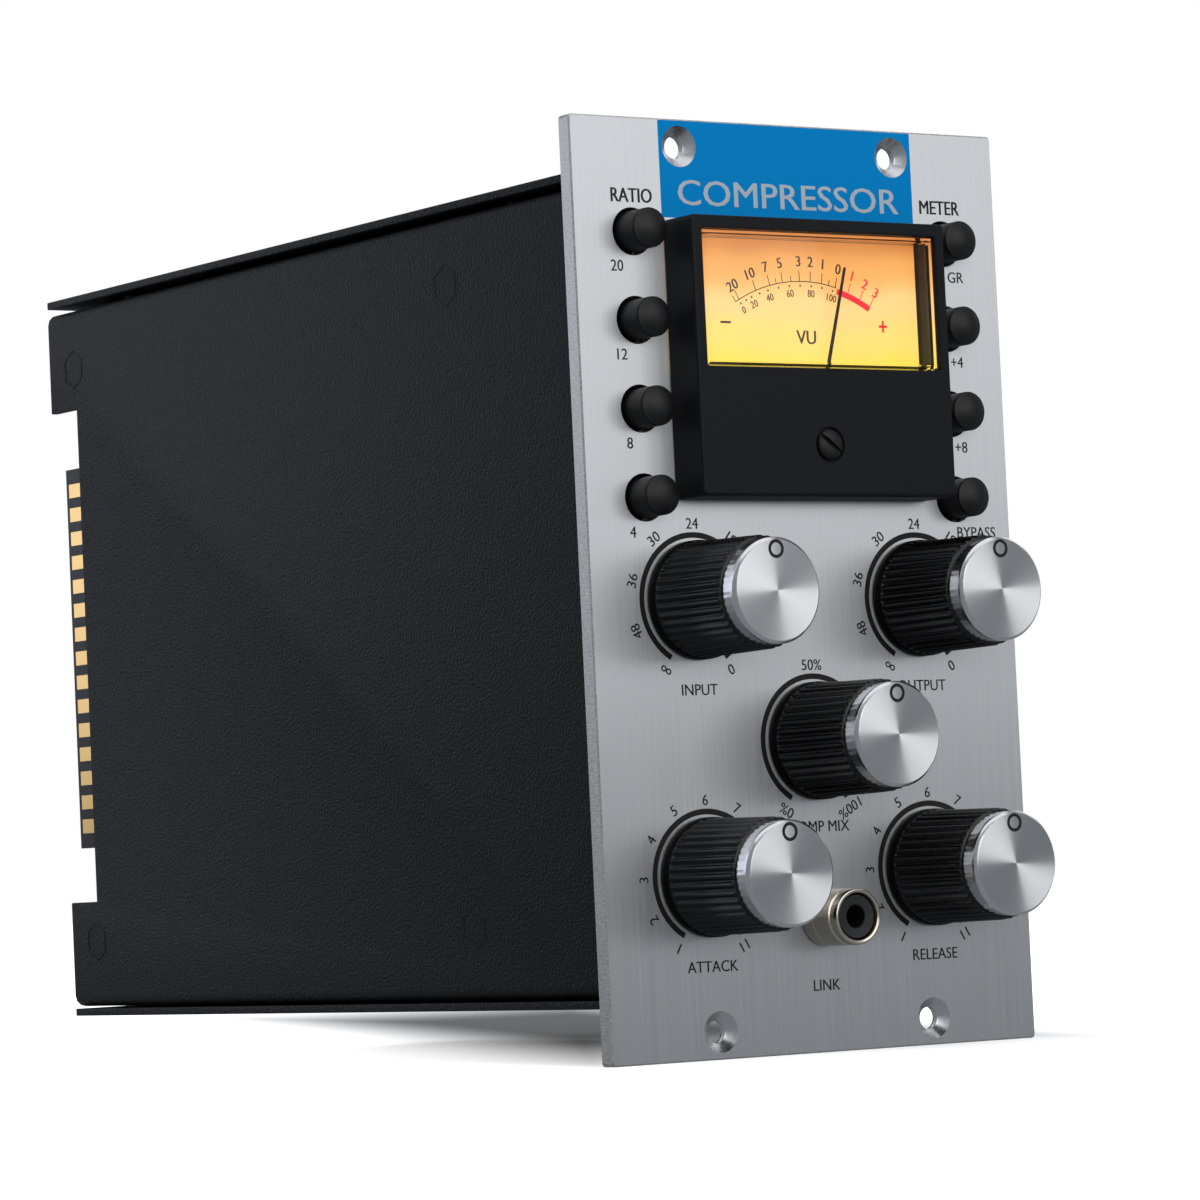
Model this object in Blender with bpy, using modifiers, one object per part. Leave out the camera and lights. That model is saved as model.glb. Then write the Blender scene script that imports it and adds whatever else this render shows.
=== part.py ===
"""Two-slot compressor module for a 500-format audio rack.

Sizes are in millimetres and the scene is in metres. The panel faces -Y, +X is to the operator's right and
+Z is up. The origin is the middle of the panel's lower edge, half way through its thickness.
"""

import math

import bmesh
import bpy
from mathutils import Matrix

MM = 0.001

# Fits
GAP = 0.3             # between pieces that touch
RUN = 0.1             # radial clearance of a turning shaft
THROUGH = 5.0         # how far a cutter runs past what it opens
FAR = 40.0            # how far one runs to both sides of a sheet

# Panel
PANEL_W = 75.7
PANEL_H = 133.35
PANEL_T = 2.5
PANEL_CORNER_R = 0.6
PANEL_CHAMFER = 0.25
RACK_HOLE_PITCH = 38.1
RACK_HOLE_EDGE = 3.9
RACK_HOLE_R = 1.7
RACK_SINK_R = 2.95

# Sheet-metal case
SHEET_T = 1.2
BEND_R = 1.8
CASE_SIDE_INSET = 0.95
CASE_END_INSET = 8.0
CASE_DEPTH = 152.7
COVER_FLANGE = 9.0
COVER_TOP_GAP = 0.85
COVER_NOTCH_DEPTH = 8.5
COVER_NOTCH_H = 80.4
REAR_WALL_START = 10.9    # from the case's left face
REAR_WALL_SINK = 0.2      # inside the case's rear edge
BRACKET_FLANGE = 11.0
COVER_SCREW_INSET = 4.9
COVER_SCREW_END = 20.0
COVER_SCREW_HEAD_R = 2.8
COVER_SCREW_R = 1.2
COVER_SCREW_L = 4.4

# Main board
BOARD_T = 1.6
STANDOFF_L = 2.5
STANDOFF_AF = 5.6
STANDOFF_BORE_R = 1.3
STANDOFF_FRONT = 32.5     # from the panel's rear face
STANDOFF_REAR = 8.0       # from the case's rear edge
STANDOFF_END = 12.0       # from the case's top and bottom
BOARD_FRONT = 22.0
BOARD_REAR_INSET = 4.0
BOARD_END_INSET = 5.0
TONGUE_W = 62.6
TONGUE_PROUD = 4.1        # past the case's rear edge

# Transformer and capacitor on the main board
TRANSFORMER_STACK = 20.0
TRANSFORMER_W = 30.0
TRANSFORMER_H = 25.0
COIL_PROUD = 4.5
CAPACITOR_R = 6.3
CAPACITOR_H = 22.0
TRANSFORMER_RISE = 12.0   # above the module's middle
TRANSFORMER_BACK = 48.0   # ahead of the board's rear edge
CAPACITOR_DROP = 25.0     # below the module's middle
CAPACITOR_FRONT = 30.0    # behind the board's front edge

# Control board
POT_DEPTH = 6.8
POT_BORE_L = 3.74         # how far the bushing's bore runs into the pot
SHAFT_TAIL_L = 3.06       # how far the shaft does
BOARD_MARGIN = 0.8
SWITCH_DEPTH = 4.0

# Knobs and potentiometers
KNOB_X = 19.9
UPPER_KNOB_Z = 64.8
MIX_KNOB_Z = 44.5
LOWER_KNOB_Z = 25.7
KNOB_LIFT = 0.6
KNOB_SKIRT_R = 8.45
KNOB_SKIRT_H = 2.0
KNOB_R = 8.25
KNOB_FRONT_R = 8.0
KNOB_BODY_H = 16.6
FLUTES = 40
FLUTE_DEPTH = 0.45
CAP_R = 7.45
CAP_H = 2.7
CAP_BEVEL = 0.45
CAP_SPIGOT_R = 3.0
CAP_SPIGOT_L = 1.2
SHAFT_R = 3.0
SHAFT_REACH = 13.0        # ahead of the panel
BUSHING_R = 3.5
BUSHING_REACH = 4.0       # ahead of the panel
POT_W = 9.8
POT_H = 11.4
NUT_AF = 10.0
NUT_T = 2.0

# Push buttons
BUTTON_EDGE = 10.05       # from the panel's side edges
BUTTON_TOP = 16.35        # from the panel's top edge
BUTTON_PITCH = 12.55
BUTTON_R = 2.85
BUTTON_CLEAR = 0.45
BUTTON_PROUD = 5.3
BUTTON_DOME = 0.8
BUTTON_EDGE_R = 1.0
BUTTON_STEM_SINK = 1.2    # how far a stem reaches into its switch
BUTTON_STEM_R = 1.3
SWITCH_W = 7.6

# Meter
METER_SIDE_GAP = 1.95     # to the button holes
METER_TOP = 14.55         # from the panel's top edge
METER_H = 39.8
METER_PROUD = 7.1
METER_RIM = 1.7           # beside the window
METER_WALL = 1.5
METER_FRONT_WALL = 1.4
METER_BACK_WALL = 0.9
METER_CAN_INSET = 3.0
METER_CAN_DEPTH = 14.2    # behind the panel's front face
WINDOW_TOP = 1.8          # from the case's top
WINDOW_H = 19.7
WINDOW_T = 1.2
DIAL_T = 0.6
PIVOT_Z = 7.4             # from the case's bottom
NEEDLE_TIP = 3.6          # from the window's top
NEEDLE_W = 0.34
NEEDLE_T = 0.3
NEEDLE_TAIL = 4.5
NEEDLE_HUB_R = 1.9
NEEDLE_HUB_T = 1.4
NEEDLE_REST = 15.0        # degrees clockwise from upright
PIVOT_R = 0.6
PIVOT_PROUD = 0.9         # past the needle's hub
MOVEMENT_X = 11.0         # half its width
MOVEMENT_GAP = 1.0        # behind the dial
ZERO_SCREW_R = 2.2
ZERO_SCREW_STEM_R = 1.2
ZERO_SCREW_PROUD = 0.5
ZERO_SCREW_SINK = 0.5
ZERO_SLOT_W = 0.6
ZERO_SLOT_DEPTH = 0.6
ZERO_SLOT_ANGLE = 38.0

# Link jack
JACK_Z = 19.2
JACK_R = 4.05
JACK_REACH = 8.2
JACK_BORE_R = 3.35
JACK_THREAD_R = 3.0
JACK_TUBE_R = 2.1
JACK_CONTACT_R = 1.6
JACK_NUT_AF = 8.6
JACK_NUT_T = 2.0
JACK_TAIL = 1.5           # behind its nut
JACK_LEDGE = 2.0          # ahead of the panel, where its insulator narrows

ROUND = 24            # sides of a round piece
SMALL_ROUND = 16

# Places worked out from the sizes
FRONT = -PANEL_T / 2
REAR = PANEL_T / 2
CASE_X = PANEL_W / 2 - CASE_SIDE_INSET
CASE_LOW = CASE_END_INSET
CASE_HIGH = PANEL_H - CASE_END_INSET
CASE_REAR = REAR + CASE_DEPTH
BRACKET_FRONT = REAR + GAP
BRACKET_REAR = BRACKET_FRONT + SHEET_T
BRACKET_X = CASE_X - SHEET_T - GAP
COVER_LOW = CASE_LOW + SHEET_T + GAP
COVER_HIGH = CASE_HIGH - SHEET_T - COVER_TOP_GAP
BOARD_X = -CASE_X + SHEET_T + STANDOFF_L + 2 * GAP
BOARD_LOW = CASE_LOW + BOARD_END_INSET
BOARD_HIGH = CASE_HIGH - BOARD_END_INSET
BOARD_REAR = CASE_REAR - BOARD_REAR_INSET
TONGUE_END = CASE_REAR + TONGUE_PROUD
POT_FRONT = BRACKET_REAR + GAP
POT_REAR = POT_FRONT + POT_DEPTH
CONTROL_FRONT = POT_REAR + GAP
BUTTON_X = PANEL_W / 2 - BUTTON_EDGE
BUTTON_HOLE_R = BUTTON_R + BUTTON_CLEAR
BUTTON_ROWS = [PANEL_H - BUTTON_TOP - n * BUTTON_PITCH for n in range(4)]
METER_X = BUTTON_X - BUTTON_HOLE_R - METER_SIDE_GAP
METER_HIGH = PANEL_H - METER_TOP
METER_LOW = METER_HIGH - METER_H
METER_FACE = FRONT - METER_PROUD
METER_BACK = FRONT - GAP
METER_CAN_X = METER_X - METER_CAN_INSET
METER_CAN_LOW = METER_LOW + METER_CAN_INSET
METER_CAN_HIGH = METER_HIGH - METER_CAN_INSET
METER_CAN_REAR = FRONT + METER_CAN_DEPTH
WINDOW_X = METER_X - METER_RIM
WINDOW_HIGH = METER_HIGH - WINDOW_TOP
WINDOW_LOW = WINDOW_HIGH - WINDOW_H
DIAL_REAR = METER_BACK - METER_BACK_WALL - GAP
DIAL_FRONT = DIAL_REAR - DIAL_T
NEEDLE_Y = DIAL_FRONT - 1.0
METER_PIVOT = METER_LOW + PIVOT_Z
NEEDLE_L = WINDOW_HIGH - NEEDLE_TIP - METER_PIVOT
KNOBS = {
    "input": (-KNOB_X, UPPER_KNOB_Z),
    "output": (KNOB_X, UPPER_KNOB_Z),
    "mix": (0.0, MIX_KNOB_Z),
    "attack": (-KNOB_X, LOWER_KNOB_Z),
    "release": (KNOB_X, LOWER_KNOB_Z),
}
BUTTON_COLUMNS = {
    -1: ["ratio_20", "ratio_12", "ratio_8", "ratio_4"],
    1: ["meter_gr", "meter_plus_4", "meter_plus_8", "bypass"],
}

# Rotations that carry a shape's +Z axis to where the piece faces
TO_FRONT = (math.pi / 2, 0, 0)
TO_RIGHT = (0, math.pi / 2, 0)
ALONG_X = (math.pi / 2, 0, math.pi / 2)
UPWARD = (0, 0, 0)
DOWNWARD = (math.pi, 0, 0)


# Building blocks

def clear_scene():
    for obj in list(bpy.data.objects):
        bpy.data.objects.remove(obj, do_unlink=True)


def new_collection(name):
    made = bpy.data.collections.new(name)
    bpy.context.scene.collection.children.link(made)
    return made


def new_material(name, color, roughness, metallic=0.0, alpha=1.0):
    material = bpy.data.materials.new(name)
    material.use_nodes = True
    shader = material.node_tree.nodes["Principled BSDF"]
    shader.inputs["Base Color"].default_value = (*color, 1.0)
    shader.inputs["Roughness"].default_value = roughness
    shader.inputs["Metallic"].default_value = metallic
    shader.inputs["Alpha"].default_value = alpha
    return material


def new_object(name, bm, at=(0, 0, 0), rotation=UPWARD, material=None):
    """An object from a bmesh drawn in millimetres. With no material it is a cutter."""
    bmesh.ops.scale(bm, vec=(MM, MM, MM), verts=bm.verts)
    mesh = bpy.data.meshes.new(name)
    bm.to_mesh(mesh)
    bm.free()
    obj = bpy.data.objects.new(name, mesh)
    obj.location = [value * MM for value in at]
    obj.rotation_euler = rotation
    if material:
        mesh.materials.append(material)
        parts.objects.link(obj)
    else:
        obj.hide_render = True
        obj.display_type = "WIRE"
        cutters.objects.link(obj)
    return obj


def box_mesh(low, high):
    bm = bmesh.new()
    size = [b - a for a, b in zip(low, high)]
    middle = [(a + b) / 2 for a, b in zip(low, high)]
    bmesh.ops.create_cube(bm, size=1, matrix=Matrix.Translation(middle) @ Matrix.Diagonal((*size, 1)))
    return bm


def bevel_edges(bm, chosen, width, segments=1):
    edges = [edge for edge in bm.edges if chosen(*[vert.co for vert in edge.verts])]
    bmesh.ops.bevel(bm, geom=edges, offset=width, segments=segments, profile=0.5, affect="EDGES")


def box(name, low, high, material=None):
    return new_object(name, box_mesh(low, high), material=material)


def rod(name, radius, start, end, at, rotation=TO_FRONT, material=None, sides=SMALL_ROUND):
    """A cylinder, or a prism of few sides, from height start to height end along its own axis."""
    bm = bmesh.new()
    bmesh.ops.create_cone(
        bm, cap_ends=True, segments=sides, radius1=radius, radius2=radius, depth=end - start,
        matrix=Matrix.Translation((0, 0, (start + end) / 2)),
    )
    return new_object(name, bm, at, rotation, material)


def turned(name, profile, at, rotation=TO_FRONT, material=None, sides=ROUND, ring=False):
    """A turned shape. Its profile of (radius, height) points runs down the outer side; a ring's is closed."""
    bm = bmesh.new()
    verts = [bm.verts.new((radius, 0, height)) for radius, height in profile]
    for first, second in zip(verts, verts[1:]):
        bm.edges.new((first, second))
    if ring:
        bm.edges.new((verts[-1], verts[0]))
    obj = new_object(name, bm, at, rotation, material)
    turn = obj.modifiers.new("turn", "SCREW")
    turn.steps = turn.render_steps = sides
    turn.use_merge_vertices = True
    turn.merge_threshold = 0.00001
    return obj


def cut(obj, *tools):
    for tool in tools:
        step = obj.modifiers.new("cut " + tool.name, "BOOLEAN")
        step.operation = "DIFFERENCE"
        step.object = tool
    return obj


def join(obj, *others):
    for other in others:
        step = obj.modifiers.new("join " + other.name, "BOOLEAN")
        step.operation = "UNION"
        step.object = other
    return obj


def arc(center, radius, start, end, steps=3):
    """Points on an arc, with angles in degrees."""
    angles = [math.radians(start + (end - start) * n / steps) for n in range(steps + 1)]
    return [(center[0] + radius * math.cos(a), center[1] + radius * math.sin(a)) for a in angles]


def folded_sheet(name, path, length, at, rotation, material):
    """Sheet metal folded along a path of (x, y) points on its outer face, and length long in z."""
    bm = bmesh.new()
    verts = [bm.verts.new((x, y, 0)) for x, y in path]
    edges = [bm.edges.new(pair) for pair in zip(verts, verts[1:])]
    grown = bmesh.ops.extrude_edge_only(bm, edges=edges)["geom"]
    moved = [item for item in grown if isinstance(item, bmesh.types.BMVert)]
    bmesh.ops.translate(bm, vec=(0, 0, length), verts=moved)
    obj = new_object(name, bm, at, rotation, material)
    thicken = obj.modifiers.new("sheet", "SOLIDIFY")
    thicken.thickness = SHEET_T * MM
    thicken.offset = -1
    thicken.use_even_offset = True
    return obj


# Panel, bracket and case

def control_holes():
    """Holes that the panel and the bracket share."""
    tools = []
    for name, (x, z) in KNOBS.items():
        tools.append(rod(name + "_bushing_hole", BUSHING_R + GAP, -FAR, FAR, (x, 0, z)))
    for side, names in BUTTON_COLUMNS.items():
        for name, z in zip(names, BUTTON_ROWS):
            tools.append(rod(name + "_hole", BUTTON_HOLE_R, -FAR, FAR, (side * BUTTON_X, 0, z)))
    tools.append(rod("jack_hole", JACK_THREAD_R + GAP, -FAR, FAR, (0, 0, JACK_Z)))
    tools.append(box(
        "meter_hole",
        (-METER_CAN_X - GAP, -FAR, METER_CAN_LOW - GAP),
        (METER_CAN_X + GAP, FAR, METER_CAN_HIGH + GAP),
    ))
    return tools


def make_panel(material, holes):
    bm = box_mesh((-PANEL_W / 2, FRONT, 0), (PANEL_W / 2, REAR, PANEL_H))
    bevel_edges(bm, lambda a, b: abs(a.y - b.y) > PANEL_T / 2, PANEL_CORNER_R, 3)
    bevel_edges(bm, lambda a, b: max(a.y, b.y) < FRONT + 0.01, PANEL_CHAMFER)
    panel = new_object("front_panel", bm, material=material)
    sinks = []
    for side in (-1, 1):
        for z in (RACK_HOLE_EDGE, PANEL_H - RACK_HOLE_EDGE):
            depth = RACK_SINK_R - RACK_HOLE_R
            profile = [
                (0, 1), (RACK_SINK_R, 1), (RACK_SINK_R, 0), (RACK_HOLE_R, -depth),
                (RACK_HOLE_R, -PANEL_T - 1), (0, -PANEL_T - 1),
            ]
            at = (side * RACK_HOLE_PITCH / 2, FRONT, z)
            sinks.append(turned(f"rack_hole_{side}_{z:.0f}", profile, at))
    return cut(panel, *sinks, *holes)


def make_bracket(material, holes):
    """A channel on its side: the wall that the controls are clamped to, and two flanges for the case."""
    low = CASE_LOW + SHEET_T + GAP
    high = CASE_HIGH - SHEET_T - GAP
    flange_end = BRACKET_FRONT + BRACKET_FLANGE
    path = [(flange_end, low)]
    path += arc((BRACKET_FRONT + BEND_R, low + BEND_R), BEND_R, 270, 180)
    path += arc((BRACKET_FRONT + BEND_R, high - BEND_R), BEND_R, 180, 90)
    path += [(flange_end, high)]
    bracket = folded_sheet("front_bracket", path, 2 * BRACKET_X, (-BRACKET_X, 0, 0), ALONG_X, material)
    relief = box(
        "cover_flange_relief",
        (-CASE_X, BRACKET_REAR + GAP, 0), (-CASE_X + COVER_FLANGE + 2 * GAP, flange_end + 5, PANEL_H),
    )
    return cut(bracket, relief, *holes)


def cover_screw_places():
    for side, z, rotation in (("top", CASE_HIGH, UPWARD), ("bottom", CASE_LOW, DOWNWARD)):
        for end, y in (("front", REAR + COVER_SCREW_END), ("rear", CASE_REAR - COVER_SCREW_END)):
            yield f"{side}_{end}", (-CASE_X + COVER_SCREW_INSET, y, z), rotation


def make_chassis(material):
    right = CASE_X - BEND_R
    path = [(-CASE_X, CASE_HIGH)]
    path += arc((right, CASE_HIGH - BEND_R), BEND_R, 90, 0)
    path += arc((right, CASE_LOW + BEND_R), BEND_R, 0, -90)
    path += [(-CASE_X, CASE_LOW)]
    at = (0, CASE_REAR, 0)
    chassis = folded_sheet("main_chassis", path, CASE_DEPTH - GAP, at, TO_FRONT, material)
    inside = SHEET_T / 2
    wall_rear = CASE_REAR - REAR_WALL_SINK
    wall = box(
        "rear_wall",
        (-CASE_X + REAR_WALL_START, wall_rear - SHEET_T, CASE_LOW + inside),
        (CASE_X - inside, wall_rear, CASE_HIGH - inside),
    )
    join(chassis, wall)
    for name, at, rotation in cover_screw_places():
        hole = countersunk("hole_" + name, at, rotation, GAP, COVER_SCREW_L)
        cut(chassis, hole)
    return chassis


def countersunk(name, at, rotation, extra, length, material=None):
    """A flat-headed screw, or with extra size and no material the hole for one."""
    top = extra + 0.5 if extra else -0.05
    head = COVER_SCREW_HEAD_R + extra
    shank = COVER_SCREW_R + extra
    profile = [(0, top), (head, top), (head, -0.15), (shank, -SHEET_T), (shank, -length), (0, -length)]
    return turned(name, profile, at, rotation, material, SMALL_ROUND)


def make_cover(material):
    inner = -CASE_X + COVER_FLANGE
    bend = -CASE_X + BEND_R
    path = [(inner, COVER_LOW)]
    path += arc((bend, COVER_LOW + BEND_R), BEND_R, 270, 180)
    path += arc((bend, COVER_HIGH - BEND_R), BEND_R, 180, 90)
    path += [(inner, COVER_HIGH)]
    cover = folded_sheet("left_side_cover", path, CASE_DEPTH - GAP, (0, CASE_REAR, 0), TO_FRONT, material)
    middle = PANEL_H / 2
    notch = box(
        "connector_notch",
        (-CASE_X - 5, CASE_REAR - COVER_NOTCH_DEPTH, middle - COVER_NOTCH_H / 2),
        (inner + 5, CASE_REAR + 5, middle + COVER_NOTCH_H / 2),
    )
    front_relief = box(
        "bracket_relief",
        (-CASE_X + SHEET_T + GAP / 3, 0, 0), (inner + 5, BRACKET_REAR + GAP, PANEL_H),
    )
    cut(cover, notch, front_relief)
    for name, at, rotation in cover_screw_places():
        shank = rod("shank_" + name, COVER_SCREW_R + GAP, -2 * COVER_SCREW_L, 1, at, rotation)
        cut(cover, shank)
    return cover


def make_cover_screws(material):
    for name, at, rotation in cover_screw_places():
        screw = countersunk("cover_screw_" + name, at, rotation, 0, COVER_SCREW_L, material)
        socket = rod("socket_" + name, 1.0, -0.8, 1, at, rotation, sides=6)
        cut(screw, socket)


# Main board and what it carries

def standoff_places():
    for end, y in (("front", REAR + STANDOFF_FRONT), ("rear", CASE_REAR - STANDOFF_REAR)):
        for level, z in (("lower", CASE_LOW + STANDOFF_END), ("upper", CASE_HIGH - STANDOFF_END)):
            yield f"{level}_{end}", (-CASE_X + SHEET_T + GAP, y, z)


def make_main_board(material):
    mesh = box_mesh((BOARD_X, BOARD_FRONT, BOARD_LOW), (BOARD_X + BOARD_T, TONGUE_END, BOARD_HIGH))
    bevel_edges(mesh, lambda a, b: min(a.y, b.y) > TONGUE_END - 0.01 and abs(a.z - b.z) > 1, 0.4)
    board = new_object("main_board", mesh, material=material)
    middle = PANEL_H / 2
    above = box("above_tongue", (-50, BOARD_REAR, middle + TONGUE_W / 2), (0, TONGUE_END + 5, PANEL_H))
    below = box("below_tongue", (-50, BOARD_REAR, 0), (0, TONGUE_END + 5, middle - TONGUE_W / 2))
    cut(board, above, below)
    for name, (_, y, z) in standoff_places():
        cut(board, rod("board_hole_" + name, STANDOFF_BORE_R, -FAR, FAR, (BOARD_X, y, z), TO_RIGHT))
    return board


def make_standoffs(material):
    radius = STANDOFF_AF / 2 / math.cos(math.pi / 6)
    for name, at in standoff_places():
        post = rod("board_standoff_" + name, radius, 0, STANDOFF_L, at, TO_RIGHT, material, sides=6)
        cut(post, rod("standoff_bore_" + name, STANDOFF_BORE_R, -1, STANDOFF_L + 1, at, TO_RIGHT))


def make_transformer(core, z, y):
    """An EI transformer: a laminated core with its wound bobbin standing out on two sides."""
    left = BOARD_X + BOARD_T + GAP
    body = box(
        "output_transformer",
        (left, y, z), (left + TRANSFORMER_STACK, y + TRANSFORMER_W, z + TRANSFORMER_H), core,
    )
    coil_mesh = box_mesh(
        (left + COIL_PROUD / 2, y + TRANSFORMER_W * 0.2, z - COIL_PROUD),
        (left + TRANSFORMER_STACK + COIL_PROUD, y + TRANSFORMER_W * 0.8, z + TRANSFORMER_H + COIL_PROUD),
    )
    bevel_edges(coil_mesh, lambda a, b: True, 1.2, 2)
    return join(body, new_object("transformer_coil", coil_mesh))


def make_capacitor(material, y, z):
    edge = 0.6
    profile = [
        (0, CAPACITOR_H), (CAPACITOR_R - edge, CAPACITOR_H), (CAPACITOR_R, CAPACITOR_H - edge),
        (CAPACITOR_R, 2.4), (CAPACITOR_R - 0.5, 2.0), (CAPACITOR_R, 1.6), (CAPACITOR_R, 0), (0, 0),
    ]
    at = (BOARD_X + BOARD_T + GAP, y, z)
    return turned("filter_capacitor", profile, at, TO_RIGHT, material, SMALL_ROUND)


def make_control_board(material):
    x = BRACKET_X - BOARD_MARGIN
    board = box(
        "control_board",
        (-x, CONTROL_FRONT, BOARD_LOW), (x, CONTROL_FRONT + BOARD_T, BOARD_HIGH), material,
    )
    window = box(
        "control_board_cutout",
        (-METER_CAN_X - BOARD_MARGIN, CONTROL_FRONT - 5, METER_CAN_LOW - BOARD_MARGIN),
        (METER_CAN_X + BOARD_MARGIN, CONTROL_FRONT + 5, PANEL_H),
    )
    return cut(board, window)


# Knobs

def fluted_body_mesh():
    """A cylinder whose every second corner is pulled in above the skirt, which leaves the flutes."""
    bm = bmesh.new()
    sides = 2 * FLUTES
    ring = bmesh.ops.create_circle(bm, cap_ends=True, radius=KNOB_SKIRT_R, segments=sides)["verts"]
    bmesh.ops.translate(bm, vec=(0, 0, KNOB_LIFT), verts=ring)
    top = bm.faces[:][0]
    levels = [
        (KNOB_SKIRT_H, KNOB_SKIRT_R, 0),
        (KNOB_SKIRT_H + 0.3, KNOB_R, FLUTE_DEPTH),
        (KNOB_BODY_H - 0.5, KNOB_FRONT_R, FLUTE_DEPTH),
        (KNOB_BODY_H, KNOB_FRONT_R - 0.5, 0.1),
    ]
    for level, (height, radius, groove) in enumerate(levels):
        grown = bmesh.ops.extrude_face_region(bm, geom=[top])["geom"]
        if level:
            bmesh.ops.delete(bm, geom=[top], context="FACES_ONLY")
        top = next(item for item in grown if isinstance(item, bmesh.types.BMFace))
        for vert in top.verts:
            angle = math.atan2(vert.co.y, vert.co.x)
            odd = round(angle / (2 * math.pi / sides)) % 2
            reach = radius - groove * odd
            vert.co = (reach * math.cos(angle), reach * math.sin(angle), height)
    bmesh.ops.recalc_face_normals(bm, faces=bm.faces[:])
    return bm


def make_knob(name, x, z, looks):
    at = (x, FRONT, z)
    body = new_object(name + "_knob", fluted_body_mesh(), at, TO_FRONT, looks["knob"])
    nut_corner = NUT_AF / 2 / math.cos(math.pi / 6)
    hollow = [
        (0, SHAFT_REACH + GAP), (SHAFT_R + GAP, SHAFT_REACH + GAP),
        (SHAFT_R + GAP, BUSHING_REACH + 1), (nut_corner + 2 * GAP, BUSHING_REACH + 1),
        (nut_corner + 2 * GAP, -1), (0, -1),
    ]
    seat = rod(name + "_cap_seat", CAP_SPIGOT_R + GAP, KNOB_BODY_H - CAP_SPIGOT_L, KNOB_BODY_H + 1, at)
    cut(body, turned(name + "_hollow", hollow, at), seat)
    top = KNOB_BODY_H + GAP + CAP_H
    low = KNOB_BODY_H + GAP
    profile = [
        (0, top), (CAP_R - CAP_BEVEL, top), (CAP_R, top - CAP_BEVEL), (CAP_R, low),
        (CAP_SPIGOT_R, low), (CAP_SPIGOT_R, low - CAP_SPIGOT_L), (0, low - CAP_SPIGOT_L),
    ]
    turned(name + "_knob_cap", profile, at, TO_FRONT, looks["spun_aluminium"], 32)
    inner_end = FRONT - POT_FRONT - SHAFT_TAIL_L
    rod(name + "_shaft", SHAFT_R, inner_end, SHAFT_REACH, at, TO_FRONT, looks["steel"])


def make_pot(name, x, z, looks):
    at = (x, FRONT, z)
    front = FRONT - POT_FRONT
    body = box(
        name + "_pot",
        (x - POT_W / 2, POT_FRONT, z - POT_H / 2), (x + POT_W / 2, POT_REAR, z + POT_H / 2), looks["pot"],
    )
    join(body, rod(name + "_bushing", BUSHING_R, front - 1, BUSHING_REACH, at))
    bore = rod(name + "_pot_bore", SHAFT_R + RUN, front - POT_BORE_L, BUSHING_REACH + 1, at, sides=ROUND)
    cut(body, bore)
    radius = NUT_AF / 2 / math.cos(math.pi / 6)
    nut = rod(name + "_nut", radius, GAP, GAP + NUT_T, at, TO_FRONT, looks["steel"], sides=6)
    cut(nut, rod(name + "_nut_bore", BUSHING_R + GAP, GAP - 1, GAP + NUT_T + 1, at))


# Push buttons

def make_button(name, x, z, material):
    """A domed cap on a barrel that runs through the panel, with a stem that works the switch."""
    barrel_end = FRONT - BRACKET_REAR - GAP
    switch_front = CONTROL_FRONT - GAP - SWITCH_DEPTH
    stem_end = FRONT - switch_front - BUTTON_STEM_SINK
    shoulder = BUTTON_PROUD - BUTTON_DOME
    crown = BUTTON_DOME * 0.75
    dome = []
    for radius, height in arc((BUTTON_R - BUTTON_EDGE_R, shoulder), BUTTON_EDGE_R, 90, 0, 3):
        dome.append((radius, shoulder + (height - shoulder) * crown / BUTTON_EDGE_R))
    profile = [(0, BUTTON_PROUD), (BUTTON_R * 0.4, BUTTON_PROUD - 0.06)] + dome
    profile += [
        (BUTTON_R, barrel_end), (BUTTON_STEM_R, barrel_end), (BUTTON_STEM_R, stem_end), (0, stem_end),
    ]
    return turned(name + "_button", profile, (x, FRONT, z), TO_FRONT, material, SMALL_ROUND)


def make_switch_bank(name, x, material):
    rear = CONTROL_FRONT - GAP
    half = SWITCH_W / 2
    bank = box(
        name + "_switch_bank",
        (x - half, rear - SWITCH_DEPTH, BUTTON_ROWS[-1] - half), (x + half, rear, BUTTON_ROWS[0] + half),
        material,
    )
    for n, z in enumerate(BUTTON_ROWS):
        cut(bank, rod(f"{name}_stem_bore_{n}", BUTTON_STEM_R + GAP, -30, 30, (x, 0, z)))
    return bank


# Meter

def make_meter_case(material):
    case_mesh = box_mesh((-METER_X, METER_FACE, METER_LOW), (METER_X, METER_BACK, METER_HIGH))
    bevel_edges(case_mesh, lambda a, b: min(a.y, b.y) < METER_FACE + 0.01, 0.4, 2)
    case = new_object("meter_case", case_mesh, material=material)
    can = box(
        "meter_can",
        (-METER_CAN_X, METER_BACK - METER_BACK_WALL / 2, METER_CAN_LOW),
        (METER_CAN_X, METER_CAN_REAR, METER_CAN_HIGH),
    )
    chamber = box(
        "meter_chamber",
        (-METER_X + METER_WALL, METER_FACE + METER_FRONT_WALL, METER_LOW + METER_WALL),
        (METER_X - METER_WALL, METER_BACK - METER_BACK_WALL, METER_HIGH - METER_WALL),
    )
    well = box(
        "meter_well",
        (-METER_CAN_X + METER_WALL, METER_FACE + METER_FRONT_WALL + 1, METER_CAN_LOW + METER_WALL),
        (METER_CAN_X - METER_WALL, METER_CAN_REAR - METER_WALL, METER_CAN_HIGH - METER_WALL),
    )
    opening = box(
        "meter_opening",
        (-WINDOW_X, METER_FACE - THROUGH, WINDOW_LOW),
        (WINDOW_X, METER_FACE + METER_FRONT_WALL + 1, WINDOW_HIGH),
    )
    at = (0, METER_FACE, METER_PIVOT)
    sink = rod("zero_screw_sink", ZERO_SCREW_R + GAP, -ZERO_SCREW_SINK, THROUGH, at, sides=ROUND)
    stem = rod("zero_screw_hole", ZERO_SCREW_STEM_R + GAP, -METER_FRONT_WALL - 1, THROUGH, at)
    join(case, can)
    return cut(case, chamber, well, opening, sink, stem)


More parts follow.
